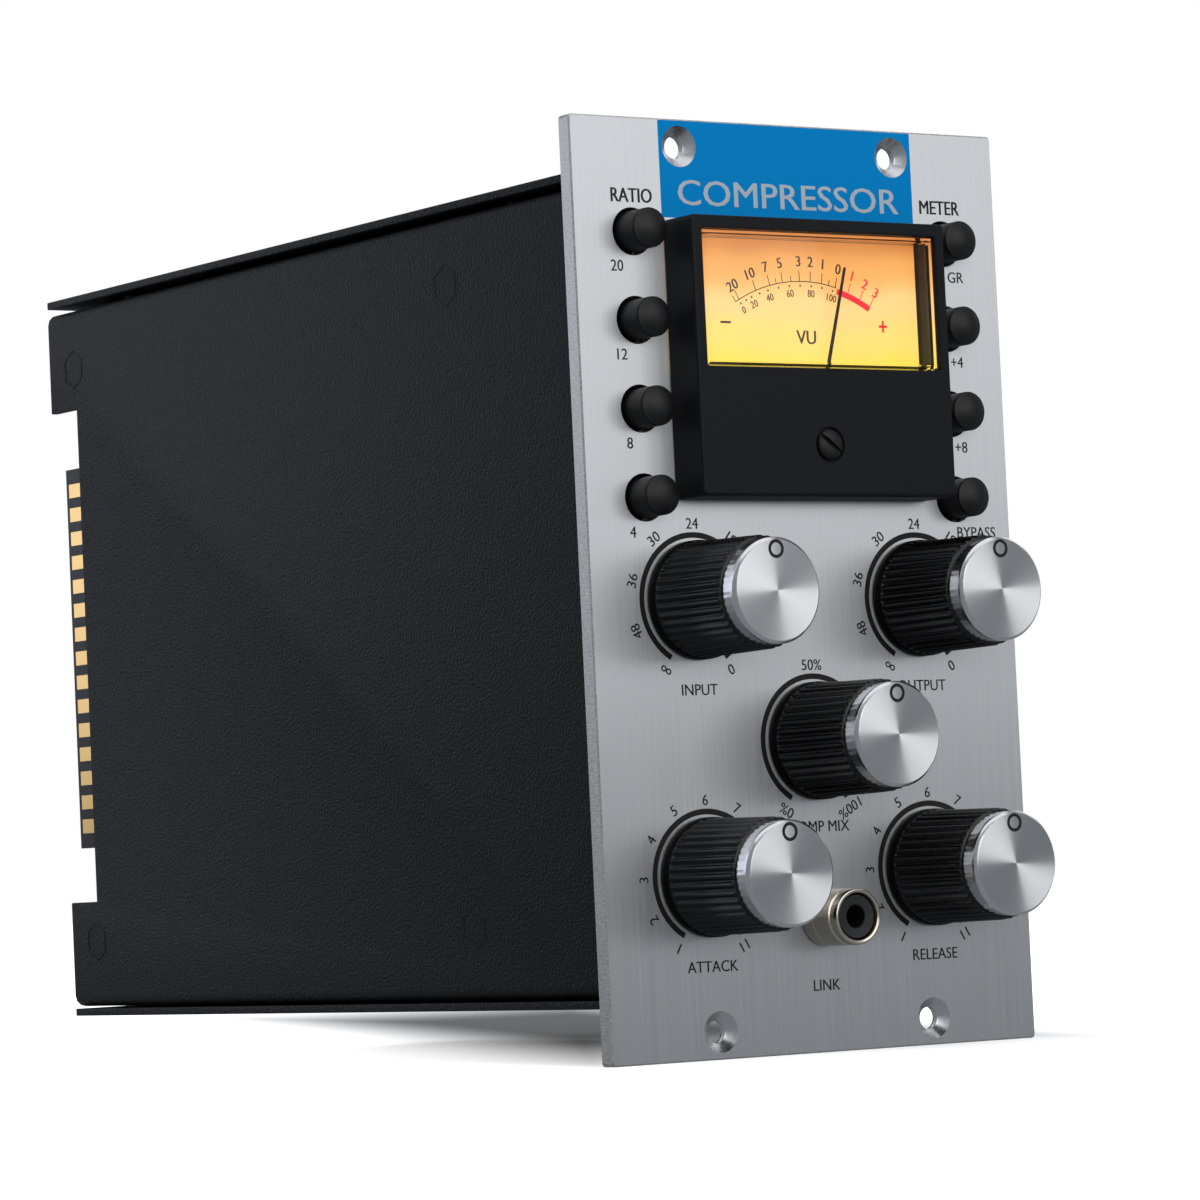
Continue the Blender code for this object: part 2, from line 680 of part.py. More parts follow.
def make_meter_window(material):
    mesh = box_mesh(
        (-WINDOW_X + GAP, METER_FACE + GAP / 2, WINDOW_LOW + GAP),
        (WINDOW_X - GAP, METER_FACE + GAP / 2 + WINDOW_T, WINDOW_HIGH - GAP),
    )
    bevel_edges(mesh, lambda a, b: max(a.y, b.y) < METER_FACE + GAP, 0.3)
    return new_object("meter_window", mesh, material=material)


def make_meter_dial(material):
    return box(
        "meter_dial",
        (-WINDOW_X + GAP, DIAL_FRONT, WINDOW_LOW + GAP), (WINDOW_X - GAP, DIAL_REAR, WINDOW_HIGH - GAP),
        material,
    )


def make_meter_movement(material):
    """The magnet block and the pivot pin that the needle's hub turns on."""
    well_low = METER_CAN_LOW + METER_WALL + GAP
    block = box(
        "meter_movement",
        (-MOVEMENT_X, DIAL_REAR + MOVEMENT_GAP, well_low),
        (MOVEMENT_X, METER_CAN_REAR - METER_WALL - GAP, WINDOW_LOW - GAP), material,
    )
    reach = METER_CAN_REAR - NEEDLE_Y - NEEDLE_HUB_T / 2
    at = (0, METER_CAN_REAR, METER_PIVOT)
    return join(block, rod("pivot_pin", PIVOT_R, METER_WALL + 2, reach + PIVOT_PROUD, at, sides=16))


def make_needle(material):
    tip = NEEDLE_W * 0.45
    blade_mesh = box_mesh((-NEEDLE_W, -NEEDLE_T / 2, -NEEDLE_TAIL), (NEEDLE_W, NEEDLE_T / 2, NEEDLE_L))
    for vert in blade_mesh.verts:
        if vert.co.z > 0:
            vert.co.x *= tip / NEEDLE_W
    at = (0, NEEDLE_Y, METER_PIVOT)
    turn = (0, math.radians(NEEDLE_REST), 0)
    needle = new_object("meter_needle", blade_mesh, at, turn, material)
    hub = rod("needle_hub", NEEDLE_HUB_R, -NEEDLE_HUB_T / 2, NEEDLE_HUB_T / 2, at)
    bore = rod("needle_bore", PIVOT_R + RUN, -THROUGH, THROUGH, at, sides=16)
    join(needle, hub)
    return cut(needle, bore)


def make_zero_screw(material):
    at = (0, METER_FACE, METER_PIVOT)
    top = ZERO_SCREW_PROUD
    seat = GAP - ZERO_SCREW_SINK
    stem_end = -METER_FRONT_WALL - 0.4
    profile = [
        (0, top), (ZERO_SCREW_R * 0.6, top - 0.05), (ZERO_SCREW_R - 0.2, top - 0.25),
        (ZERO_SCREW_R, top - 0.5),
        (ZERO_SCREW_R, seat), (ZERO_SCREW_STEM_R, seat), (ZERO_SCREW_STEM_R, stem_end), (0, stem_end),
    ]
    screw = turned("zero_adjust_screw", profile, at, TO_FRONT, material)
    slot_mesh = box_mesh(
        (-THROUGH, -ZERO_SLOT_W / 2, top - ZERO_SLOT_DEPTH), (THROUGH, ZERO_SLOT_W / 2, top + THROUGH)
    )
    slot = new_object("zero_screw_slot", slot_mesh, at, (math.pi / 2, math.radians(ZERO_SLOT_ANGLE), 0))
    return cut(screw, slot)


# Link jack

def make_jack(looks):
    at = (0, FRONT, JACK_Z)
    nut_front = FRONT - POT_FRONT
    tail = nut_front - JACK_NUT_T - JACK_TAIL
    shell = [
        (JACK_BORE_R, JACK_REACH), (JACK_R - 0.3, JACK_REACH), (JACK_R, JACK_REACH - 0.3),
        (JACK_R, GAP), (JACK_THREAD_R, GAP), (JACK_THREAD_R, tail), (JACK_TUBE_R + GAP, tail),
        (JACK_TUBE_R + GAP, JACK_LEDGE), (JACK_BORE_R, JACK_LEDGE),
    ]
    turned("link_jack_shell", shell, at, TO_FRONT, looks["nickel"], ring=True)
    disc = JACK_BORE_R - GAP
    insulator = [
        (JACK_CONTACT_R, JACK_REACH - 0.5), (disc, JACK_REACH - 0.5), (disc, JACK_LEDGE + GAP),
        (JACK_TUBE_R, JACK_LEDGE + GAP), (JACK_TUBE_R, tail - 1), (0, tail - 1), (0, JACK_LEDGE + GAP),
        (JACK_CONTACT_R, JACK_LEDGE + GAP),
    ]
    turned("link_jack_insulator", insulator, at, TO_FRONT, looks["black_plastic"], ring=True)
    radius = JACK_NUT_AF / 2 / math.cos(math.pi / 6)
    nut = rod(
        "link_jack_nut", radius, nut_front - JACK_NUT_T, nut_front, at, TO_FRONT, looks["nickel"], sides=6,
    )
    bore = rod(
        "jack_nut_bore", JACK_THREAD_R + GAP, nut_front - JACK_NUT_T - THROUGH, nut_front + THROUGH, at,
    )
    cut(nut, bore)


clear_scene()
parts = new_collection("rack_compressor")
cutters = new_collection("cutters")


def build():
    looks = {
        "panel": new_material("brushed_aluminium", (0.52, 0.53, 0.54), 0.42, 1.0),
        "powder": new_material("black_powder_coat", (0.016, 0.018, 0.02), 0.55),
        "zinc": new_material("zinc_plated_steel", (0.5, 0.5, 0.48), 0.4, 1.0),
        "solder_mask": new_material("black_solder_mask", (0.03, 0.031, 0.034), 0.4),
        "knob": new_material("black_knob_plastic", (0.008, 0.008, 0.009), 0.35),
        "spun_aluminium": new_material("spun_aluminium", (0.72, 0.73, 0.74), 0.28, 1.0),
        "steel": new_material("nickel_plated_steel", (0.55, 0.55, 0.54), 0.3, 1.0),
        "pot": new_material("pot_body", (0.10, 0.10, 0.11), 0.5),
        "button": new_material("button_plastic", (0.012, 0.012, 0.013), 0.42),
        "black_plastic": new_material("black_plastic", (0.012, 0.012, 0.014), 0.45),
        "acrylic": new_material("clear_acrylic", (0.95, 0.95, 0.95), 0.03, 0.0, 0.25),
        "dial": new_material("amber_dial", (1.0, 0.55, 0.16), 0.5),
        "needle": new_material("needle_black", (0.01, 0.01, 0.01), 0.5),
        "nickel": new_material("bright_nickel", (0.60, 0.57, 0.52), 0.18, 1.0),
        "core": new_material("transformer_steel", (0.12, 0.12, 0.13), 0.5, 0.6),
        "sleeve": new_material("capacitor_sleeve", (0.02, 0.03, 0.06), 0.35),
    }
    holes = control_holes()
    make_panel(looks["panel"], holes)
    make_bracket(looks["zinc"], holes)
    make_chassis(looks["powder"])
    make_cover(looks["powder"])
    make_cover_screws(looks["powder"])
    make_main_board(looks["solder_mask"])
    make_standoffs(looks["zinc"])
    make_transformer(looks["core"], PANEL_H / 2 + TRANSFORMER_RISE, BOARD_REAR - TRANSFORMER_BACK)
    make_capacitor(looks["sleeve"], BOARD_FRONT + CAPACITOR_FRONT, PANEL_H / 2 - CAPACITOR_DROP)
    make_control_board(looks["solder_mask"])
    for name, (x, z) in KNOBS.items():
        make_knob(name, x, z, looks)
        make_pot(name, x, z, looks)
    for side, names in BUTTON_COLUMNS.items():
        for name, z in zip(names, BUTTON_ROWS):
            make_button(name, side * BUTTON_X, z, looks["button"])
    make_switch_bank("ratio", -BUTTON_X, looks["black_plastic"])
    make_switch_bank("meter", BUTTON_X, looks["black_plastic"])
    make_meter_case(looks["black_plastic"])
    make_meter_window(looks["acrylic"])
    make_meter_dial(looks["dial"])
    make_meter_movement(looks["zinc"])
    make_needle(looks["needle"])
    make_zero_screw(looks["black_plastic"])
    make_jack(looks)


build()
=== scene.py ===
"""Looks of the two-slot rack compressor: its finishes, its fine shapes, the studio and the camera.

Shapes are drawn in millimetres. Those on the panel are drawn from the front: x to the right, y up from the
panel's lower edge and z proud of its face.
"""

import math

import bmesh
import bpy
from mathutils import Matrix, Vector


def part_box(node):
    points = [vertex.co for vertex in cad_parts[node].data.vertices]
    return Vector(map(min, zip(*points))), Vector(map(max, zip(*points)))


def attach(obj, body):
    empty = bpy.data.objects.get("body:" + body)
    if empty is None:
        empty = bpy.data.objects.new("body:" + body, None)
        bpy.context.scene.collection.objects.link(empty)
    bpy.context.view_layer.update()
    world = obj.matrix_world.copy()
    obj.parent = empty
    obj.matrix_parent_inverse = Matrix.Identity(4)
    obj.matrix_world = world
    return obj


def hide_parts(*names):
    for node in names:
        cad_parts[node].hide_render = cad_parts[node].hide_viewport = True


MM = 0.001

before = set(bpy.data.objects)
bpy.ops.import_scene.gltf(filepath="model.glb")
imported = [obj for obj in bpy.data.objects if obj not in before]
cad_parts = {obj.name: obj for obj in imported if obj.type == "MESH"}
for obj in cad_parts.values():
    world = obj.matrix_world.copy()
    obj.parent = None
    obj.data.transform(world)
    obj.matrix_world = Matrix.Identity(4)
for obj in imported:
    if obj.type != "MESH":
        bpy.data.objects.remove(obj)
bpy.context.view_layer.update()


# Places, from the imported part

def box_mm(node):
    """The lowest and highest corner of a CAD node, in millimetres."""
    low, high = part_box(node)
    return low / MM, high / MM


PANEL_LOW, PANEL_HIGH = box_mm("front_panel")
PANEL_W = PANEL_HIGH.x - PANEL_LOW.x
PANEL_H = PANEL_HIGH.z - PANEL_LOW.z
PANEL_T = PANEL_HIGH.y - PANEL_LOW.y
METER_LOW, METER_HIGH = box_mm("meter_case")
WINDOW_LOW, WINDOW_HIGH = box_mm("meter_window")
DIAL_LOW, DIAL_HIGH = box_mm("meter_dial")
SCREW_LOW, SCREW_HIGH = box_mm("zero_adjust_screw")
COVER_LOW = box_mm("left_side_cover")[0]
BOARD_LOW, BOARD_HIGH = box_mm("main_board")
JACK_LOW, JACK_HIGH = box_mm("link_jack_shell")

KNOBS = ["input", "output", "mix", "attack", "release"]
BUTTONS = [
    "ratio_20", "ratio_12", "ratio_8", "ratio_4", "meter_gr", "meter_plus_4", "meter_plus_8", "bypass",
]
PIVOT_HEIGHT = (SCREW_LOW.z + SCREW_HIGH.z) / 2
PRINT_T = 0.02            # thickness of printed ink
PAINTED_SHADOW_TURN = -23         # degrees from straight back, of the shadow painted on the floor
SWEEP = 150               # degrees that a scale runs each side of upright


def center_of(node):
    """The x and height of a round control's axis."""
    low, high = box_mm(node)
    return (low.x + high.x) / 2, (low.z + high.z) / 2


def front_view(x=0.0, y=0.0, z=0.0):
    """Takes a shape drawn from the front, in millimetres, to its place with its origin at x, y, z."""
    place = Matrix.Translation((x, PANEL_LOW.y - z, y))
    return Matrix.Scale(MM, 4) @ place @ Matrix.Rotation(math.radians(90), 4, "X")


# Finishes

def srgb(code):
    """The linear colour of an sRGB hex value."""
    values = [int(code[n:n + 2], 16) / 255 for n in (1, 3, 5)]
    return [v / 12.92 if v <= 0.04045 else ((v + 0.055) / 1.055) ** 2.4 for v in values] + [1.0]


def surface(name, colour, roughness, metallic=0.0, **sockets):
    """A material and its shader, with constant values on the shader's own sockets."""
    made = bpy.data.materials.new(name)
    made.use_nodes = True
    shader = made.node_tree.nodes["Principled BSDF"]
    shader.inputs["Base Color"].default_value = srgb(colour)
    shader.inputs["Roughness"].default_value = roughness
    shader.inputs["Metallic"].default_value = metallic
    for socket, value in sockets.items():
        shader.inputs[socket.replace("_", " ").title().replace("Ior", "IOR")].default_value = value
    return made, shader


def add(material, kind, inputs, **settings):
    """Adds a node. An input is a plain value, or another node's output to link."""
    tree = material.node_tree
    made = tree.nodes.new(kind)
    for name, value in settings.items():
        setattr(made, name, value)
    for socket, value in inputs.items():
        if isinstance(value, bpy.types.NodeSocket):
            tree.links.new(value, made.inputs[socket])
        else:
            made.inputs[socket].default_value = value
    return made


def mottled(material, shader, size, dark, light, rough, bump, detail=3.0, source="Object"):
    """Noise of a real size in mm along x, y and z, driving colour, roughness and relief in mm."""
    places = add(material, "ShaderNodeTexCoord", {})
    scale = [1 / (length * MM) for length in size]
    mapping = add(material, "ShaderNodeMapping", {"Vector": places.outputs[source], "Scale": scale})
    noise = add(
        material, "ShaderNodeTexNoise",
        {"Vector": mapping.outputs["Vector"], "Scale": 1.0, "Detail": detail, "Roughness": 0.6},
    )
    level = noise.outputs["Fac"]
    colour = add(
        material, "ShaderNodeMix", {0: level, 6: srgb(dark), 7: srgb(light)}, data_type="RGBA",
    )
    material.node_tree.links.new(colour.outputs[2], shader.inputs["Base Color"])
    gloss = add(
        material, "ShaderNodeMapRange",
        {"Value": level, "From Min": 0.3, "From Max": 0.7, "To Min": rough[0], "To Max": rough[1]},
    )
    material.node_tree.links.new(gloss.outputs["Result"], shader.inputs["Roughness"])
    if bump:
        relief = add(material, "ShaderNodeBump", {"Height": level, "Strength": 1.0, "Distance": bump * MM})
        material.node_tree.links.new(relief.outputs["Normal"], shader.inputs["Normal"])
    return level


def brushed_aluminium():
    """Aluminium sheet brushed up and down, then clear anodised: long fine scratches. The real ones are
    0.05 mm wide, and are drawn 0.2 mm wide so that they show."""
    made, shader = surface("brushed_aluminium", "#c4c5c7", 0.42, 1.0, anisotropic=0.9)
    mottled(made, shader, (0.2, 0.2, 26.0), "#b4b6b9", "#d0d1d3", (0.38, 0.46), 0.002)
    tangent = add(made, "ShaderNodeTangent", {}, direction_type="UV_MAP", uv_map="grain")
    made.node_tree.links.new(tangent.outputs["Tangent"], shader.inputs["Tangent"])
    return made


def sawn_aluminium():
    """The panel's cut edge: milled across its thickness, so mottled with short marks 0.25 mm apart."""
    made, shader = surface("sawn_aluminium", "#a5a6a8", 0.45, 1.0)
    mottled(made, shader, (0.6, 0.9, 0.22), "#5e5f60", "#f4f2ef", (0.35, 0.6), 0.05)
    return made


def turned_aluminium():
    """Bare aluminium cut by a countersink: brighter and smoother than the face, with faint rings."""
    made, shader = surface("turned_aluminium", "#c9cacd", 0.28, 1.0)
    mottled(made, shader, (0.6, 0.15, 0.6), "#c2c4c7", "#d4d5d8", (0.24, 0.32), 0.0008)
    return made


def blue_enamel():
    """Screen-printed blue enamel: an even satin film, with the brushing faintly showing through."""
    made, shader = surface("blue_enamel", "#0085cc", 0.45, specular_ior_level=0.04)
    mottled(made, shader, (0.25, 0.25, 20.0), "#0083c9", "#0088d0", (0.42, 0.5), 0.0005)
    return made


def black_ink():
    """Black screen-printing ink, dull and slightly uneven where the brushing shows through."""
    made, shader = surface("black_ink", "#141312", 0.6, specular_ior_level=0.3)
    mottled(made, shader, (0.12, 0.12, 1.5), "#100f0e", "#1d1b1a", (0.5, 0.7), 0.001)
    return made


def silver_ink():
    """Pale grey ink for the name on the blue band."""
    made, shader = surface("silver_ink", "#b4bec8", 0.5, specular_ior_level=0.3)
    mottled(made, shader, (0.25, 0.25, 6.0), "#aab5c0", "#bcc6cf", (0.45, 0.55), 0.001)
    return made


def powder_coat():
    """Fine-textured black powder coat on steel: half-millimetre grains that catch the light."""
    made, shader = surface("powder_coat", "#0f1113", 0.5, specular_ior_level=0.2)
    mottled(made, shader, (0.42, 0.42, 0.42), "#0a0c0e", "#14171a", (0.42, 0.58), 0.3, 1.5)
    return made


def knob_plastic(name, roughness, gloss):
    """Injection-moulded black ABS, very slightly clouded: satin flutes, and a duller skirt."""
    made, shader = surface(name, "#060607", roughness, specular_ior_level=gloss)
    mottled(made, shader, (2.0, 2.0, 2.0), "#040405", "#080809", (roughness - 0.02, roughness + 0.02), 0.0)
    return made


def button_plastic():
    """Matte black moulded plastic, spark-eroded mould texture of about 0.15 mm."""
    made, shader = surface("button_plastic", "#0d0d0e", 0.46, specular_ior_level=0.3)
    mottled(made, shader, (0.2, 0.2, 0.2), "#0b0b0c", "#121213", (0.4, 0.52), 0.004)
    return made


def meter_plastic():
    """Satin black ABS of the meter's housing, with a fine even mould grain."""
    made, shader = surface("meter_plastic", "#141519", 0.46, specular_ior_level=0.12)
    mottled(made, shader, (0.28, 0.28, 0.28), "#121316", "#18191d", (0.42, 0.52), 0.004)
    return made


def black_plastic():
    """Plain glass-filled black plastic, for the switch banks and the jack's insulator."""
    made, shader = surface("black_plastic", "#0e0e0f", 0.5)
    mottled(made, shader, (0.4, 0.4, 0.4), "#0a0a0b", "#141415", (0.42, 0.58), 0.004)
    return made


def spun_aluminium():
    """The cap's face, turned on a lathe: rings about 0.12 mm apart round its centre, which stretch each
    highlight from the centre to the edge."""
    made, shader = surface("spun_aluminium", "#cfd0d2", 0.35, 1.0, anisotropic=1.0)
    mottled(made, shader, (12.0, 900.0, 1.0), "#c9cacc", "#d5d6d8", (0.33, 0.37), 0.0, 4.0, "UV")
    tangent = add(made, "ShaderNodeTangent", {}, direction_type="UV_MAP", uv_map="rings")
    made.node_tree.links.new(tangent.outputs["Tangent"], shader.inputs["Tangent"])
    return made


def polished_aluminium():
    """The cap's diamond-cut bevel and serrated side: nearly a mirror."""
    made, shader = surface("polished_aluminium", "#d6d7da", 0.22, 1.0)
    mottled(made, shader, (0.8, 0.8, 0.8), "#cbccd0", "#dedfe2", (0.18, 0.27), 0.0)
    return made


def bright_nickel():
    """Nickel plate over brass: warm grey and glossy, slightly cloudy."""
    made, shader = surface("bright_nickel", "#c4bbac", 0.22, 1.0)
    mottled(made, shader, (1.5, 1.5, 1.5), "#b8afa0", "#cfc6b8", (0.18, 0.28), 0.0)
    return made


def gold_plate():
    """Gold flash over nickel on the card's contacts."""
    made, shader = surface("gold_plate", "#ffd083", 0.32, 1.0)
    mottled(made, shader, (0.5, 0.12, 0.5), "#fac678", "#ffdc9c", (0.27, 0.4), 0.002)
    return made


def solder_mask():
    """Matte black solder mask over copper and glass cloth: the 0.5 mm weave just shows."""
    made, shader = surface("solder_mask", "#26272b", 0.45, specular_ior_level=0.25)
    level = mottled(made, shader, (0.5, 0.5, 0.5), "#222327", "#2a2b2f", (0.4, 0.52), 0.0)
    places = add(made, "ShaderNodeTexCoord", {})
    threads = add(
        made, "ShaderNodeTexWave",
        {"Vector": places.outputs["Object"], "Scale": 0.314 / (0.5 * MM), "Distortion": 0.4},
        bands_direction="DIAGONAL",
    )
    total = add(made, "ShaderNodeMath", {0: level, 1: threads.outputs["Fac"]}, operation="ADD")
    relief = add(made, "ShaderNodeBump", {"Height": total.outputs["Value"], "Distance": 0.004 * MM})
    made.node_tree.links.new(relief.outputs["Normal"], shader.inputs["Normal"])
    return made


def clear_acrylic():
    """Moulded clear acrylic, coated against glare, so its index is set low. Faint waves in its surface
    bend what is behind it very slightly."""
    made, shader = surface("clear_acrylic", "#ffffff", 0.02, transmission_weight=1.0, ior=1.18)
    places = add(made, "ShaderNodeTexCoord", {})
    waves = add(made, "ShaderNodeTexNoise", {"Vector": places.outputs["Object"], "Scale": 1 / (6 * MM)})
    relief = add(made, "ShaderNodeBump", {"Height": waves.outputs["Fac"], "Distance": 0.01 * MM})
    made.node_tree.links.new(relief.outputs["Normal"], shader.inputs["Normal"])
    return made


def lit_dial():
    """Translucent card. The light of the two lamps below it is painted in as glow: yellow at its foot, peach
    in the middle, orange above.
    """
    made, shader = surface("lit_dial", "#6b5030", 0.7, emission_strength=1.0)
    places = add(made, "ShaderNodeTexCoord", {})
    split = add(made, "ShaderNodeSeparateXYZ", {"Vector": places.outputs["Object"]})
    height = add(
        made, "ShaderNodeMapRange",
        {"Value": split.outputs["Z"], "From Min": DIAL_LOW.z * MM, "From Max": DIAL_HIGH.z * MM},
    )
    # faint clouds in the painted backlight
    cloud = add(
        made, "ShaderNodeTexNoise",
        {"Vector": places.outputs["Object"], "Scale": 1 / (12 * MM), "Detail": 1.0},
    )
    drift = add(
        made, "ShaderNodeMapRange", {"Value": cloud.outputs["Fac"], "To Min": -0.12, "To Max": 0.12},
    )
    level = add(
        made, "ShaderNodeMath", {0: height.outputs["Result"], 1: drift.outputs["Result"]}, operation="ADD",
    )
    # painted backlight: the glow's colour by height, brightest and yellowest at the foot
    glow = add(made, "ShaderNodeValToRGB", {"Fac": level.outputs["Value"]})
    ramp = glow.color_ramp
    ramp.interpolation = "EASE"
    stops = [(0.0, "#ffe04a"), (0.22, "#ffda6c"), (0.5, "#ffcf83"), (0.75, "#f0a552"), (1.0, "#c9742e")]
    while len(ramp.elements) < len(stops):
        ramp.elements.new(0.5)
    for element, (place, code) in zip(ramp.elements, stops):
        element.position = place
        element.color = srgb(code)
    made.node_tree.links.new(glow.outputs["Color"], shader.inputs["Emission Color"])
    return made


def dial_ink(name, colour, glow):
    """Ink on the dial. A little of the lamp's light coming through it is painted in as a faint glow of the
    given colour.
    """
    made, shader = surface(name, colour, 0.7, emission_strength=1.0)
    shader.inputs["Emission Color"].default_value = srgb(glow)
    mottled(made, shader, (0.2, 0.2, 0.2), colour, colour, (0.6, 0.8), 0.0)
    return made


def lamp_glass():
    """A grain-of-wheat lamp at the dial's foot, warm white."""
    made, shader = surface("lamp_glass", "#ffe0a0", 0.3, emission_strength=14.0)
    shader.inputs["Emission Color"].default_value = srgb("#ffc24a")
    return made


def needle_paint():
    """Matt dark paint on the needle."""
    made, shader = surface("needle_paint", "#2b2421", 0.6)
    mottled(made, shader, (0.3, 0.3, 0.3), "#221c1a", "#332b28", (0.5, 0.7), 0.0)
    return made


def plated_steel(name, dark, light, roughness):
    """Zinc or nickel plate on steel, clouded in patches a few millimetres across."""
    made, shader = surface(name, light, roughness, 1.0)
    mottled(made, shader, (3.0, 3.0, 3.0), dark, light, (roughness - 0.06, roughness + 0.08), 0.002)
    return made


def plain_solid(name, dark, light, roughness, grain):
    """A plain moulded or pressed finish whose tone varies a little, with a grain of that size in mm."""
    made, shader = surface(name, light, roughness)
    mottled(made, shader, (grain, grain, grain), dark, light, (roughness - 0.06, roughness + 0.06), 0.004)
    return made


def white_paper():
    """The studio's white paper. It glows evenly, except in a painted shadow that runs back from under the
    module: a soft strip where its glow fades out and its colour is painted grey.
    """
    made, shader = surface("white_paper", "#fafafa", 0.9, specular_ior_level=0.0)
    shader.inputs["Emission Color"].default_value = srgb("#ffffff")
    places = add(made, "ShaderNodeTexCoord", {})
    along = add(
        made, "ShaderNodeMapping",
        {
            "Vector": places.outputs["Object"], "Location": (0.086, 0.19, 0),
            "Rotation": (0, 0, math.radians(PAINTED_SHADOW_TURN)), "Scale": (0.042, 0.225, 1),
        },
        vector_type="TEXTURE",
    )
    away = add(made, "ShaderNodeVectorMath", {0: along.outputs["Vector"]}, operation="ABSOLUTE")
    split = add(made, "ShaderNodeSeparateXYZ", {"Vector": away.outputs["Vector"]})
    reach = add(
        made, "ShaderNodeMath", {0: split.outputs["X"], 1: split.outputs["Y"]}, operation="MAXIMUM",
    )
    # mask of the painted shadow: no glow in the strip, full glow outside it
    glow = add(
        made, "ShaderNodeMapRange", {"Value": reach.outputs["Value"], "From Min": 0.3, "From Max": 1.4},
        interpolation_type="SMOOTHSTEP",
    )
    made.node_tree.links.new(glow.outputs["Result"], shader.inputs["Emission Strength"])
    # painted shadow: the paper's colour turns grey #7c7c7c in the strip
    colour = add(
        made, "ShaderNodeMix", {0: glow.outputs["Result"], 6: srgb("#7c7c7c"), 7: srgb("#fafafa")},
        data_type="RGBA",
    )
    made.node_tree.links.new(colour.outputs[2], shader.inputs["Base Color"])
    return made


FINISHES = {
    "aluminium": brushed_aluminium(),
    "edge": sawn_aluminium(),
    "turned": turned_aluminium(),
    "blue": blue_enamel(),
    "ink": black_ink(),
    "silver": silver_ink(),
    "powder": powder_coat(),
    "knob": knob_plastic("knob_plastic", 0.28, 0.35),
    "skirt": knob_plastic("knob_skirt", 0.55, 0.08),
    "button": button_plastic(),
    "meter": meter_plastic(),
    "plastic": black_plastic(),
    "spun": spun_aluminium(),
    "polished": polished_aluminium(),
    "nickel": bright_nickel(),
    "gold": gold_plate(),
    "mask": solder_mask(),
    "acrylic": clear_acrylic(),
    "dial": lit_dial(),
    # each ink's last colour is its painted glow of lamp light through the card
    "dial_black": dial_ink("dial_black_ink", "#2a1c10", "#2c1e10"),
    "dial_red": dial_ink("dial_red_ink", "#c0182a", "#b8121f"),
    "lamp": lamp_glass(),
    "needle": needle_paint(),
    "zinc": plated_steel("zinc_plated_steel", "#a5a69f", "#c2c3bd", 0.38),
    "steel": plated_steel("nickel_plated_steel", "#b0afa9", "#cbcac5", 0.28),
    "pot": plain_solid("pot_body", "#2a2b2f", "#35363a", 0.5, 0.5),
    "core": plain_solid("transformer_steel", "#2b2b2e", "#3e3e42", 0.5, 0.35),
    "sleeve": plain_solid("capacitor_sleeve", "#0f1524", "#18203a", 0.35, 1.0),
}


# Shapes

def piece(name, bm, finishes, body, place, stands_for=(), crease=35):
    """Puts a finished shape in its place, on the body that it moves with."""
    bmesh.ops.transform(bm, matrix=place, verts=bm.verts)
    mesh = bpy.data.meshes.new(name)
    bm.to_mesh(mesh)
    bm.free()
    for finish in finishes:
        mesh.materials.append(FINISHES[finish])
    mesh.shade_smooth()
    mesh.set_sharp_from_angle(angle=math.radians(crease))
    made = bpy.data.objects.new(name, mesh)
    bpy.context.scene.collection.objects.link(made)
    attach(made, body)
    if stands_for:
        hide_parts(*stands_for)
    return made


def arc(center, radius, start, end, steps=6):
    """Points on an arc, with angles in degrees."""
    angles = [math.radians(start + (end - start) * n / steps) for n in range(steps + 1)]
    return [(center[0] + radius * math.cos(a), center[1] + radius * math.sin(a)) for a in angles]


def turned(profile, sides, ring=False):
    """A profile of (radius, height) points turned about the z axis. A ring's profile is closed."""
    bm = bmesh.new()
    verts = [bm.verts.new((radius, 0, height)) for radius, height in profile]
    edges = [bm.edges.new(pair) for pair in zip(verts, verts[1:])]
    if ring:
        edges.append(bm.edges.new((verts[-1], verts[0])))
    bmesh.ops.spin(
        bm, geom=verts + edges, cent=(0, 0, 0), axis=(0, 0, 1), angle=2 * math.pi, steps=sides,
        use_merge=True,
    )
    bmesh.ops.remove_doubles(bm, verts=bm.verts, dist=0.0005)
    bmesh.ops.recalc_face_normals(bm, faces=bm.faces)
    return bm


def ease(bm, width, segments=2, angle=40):
    """Rounds every edge that is sharper than the angle."""
    edges = [edge for edge in bm.edges if edge.calc_face_angle(0) > math.radians(angle)]
    bmesh.ops.bevel(
        bm, geom=edges, offset=width, segments=segments, profile=0.5, affect="EDGES", material=-1,
    )


def merge(bm, other):
    """Adds another shape to this one."""
    mesh = bpy.data.meshes.new("part")
    other.to_mesh(mesh)
    other.free()
    bm.from_mesh(mesh)
    bpy.data.meshes.remove(mesh)


def block(low, high):
    """A box between two corners."""
    bm = bmesh.new()
    size = [b - a for a, b in zip(low, high)]
    middle = [(a + b) / 2 for a, b in zip(low, high)]
    bmesh.ops.create_cube(bm, size=1, matrix=Matrix.Translation(middle) @ Matrix.Diagonal((*size, 1)))
    return bm


def outline(bm, low, high, z, radius, steps=5):
    """The edges of a rounded rectangle."""
    old = set(bm.faces)
    middle = ((low[0] + high[0]) / 2, (low[1] + high[1]) / 2, z)
    size = Matrix.Diagonal((high[0] - low[0], high[1] - low[1], 1, 1))
    made = bmesh.ops.create_grid(
        bm, x_segments=1, y_segments=1, size=0.5, matrix=Matrix.Translation(middle) @ size,
    )
    if radius:
        bmesh.ops.bevel(
            bm, geom=made["verts"], offset=radius, segments=steps, profile=0.5, affect="VERTICES",
            material=-1,
        )
    face = next(face for face in bm.faces if face not in old)
    edges = list(face.edges)
    bmesh.ops.delete(bm, geom=[face], context="FACES_ONLY")
    return edges


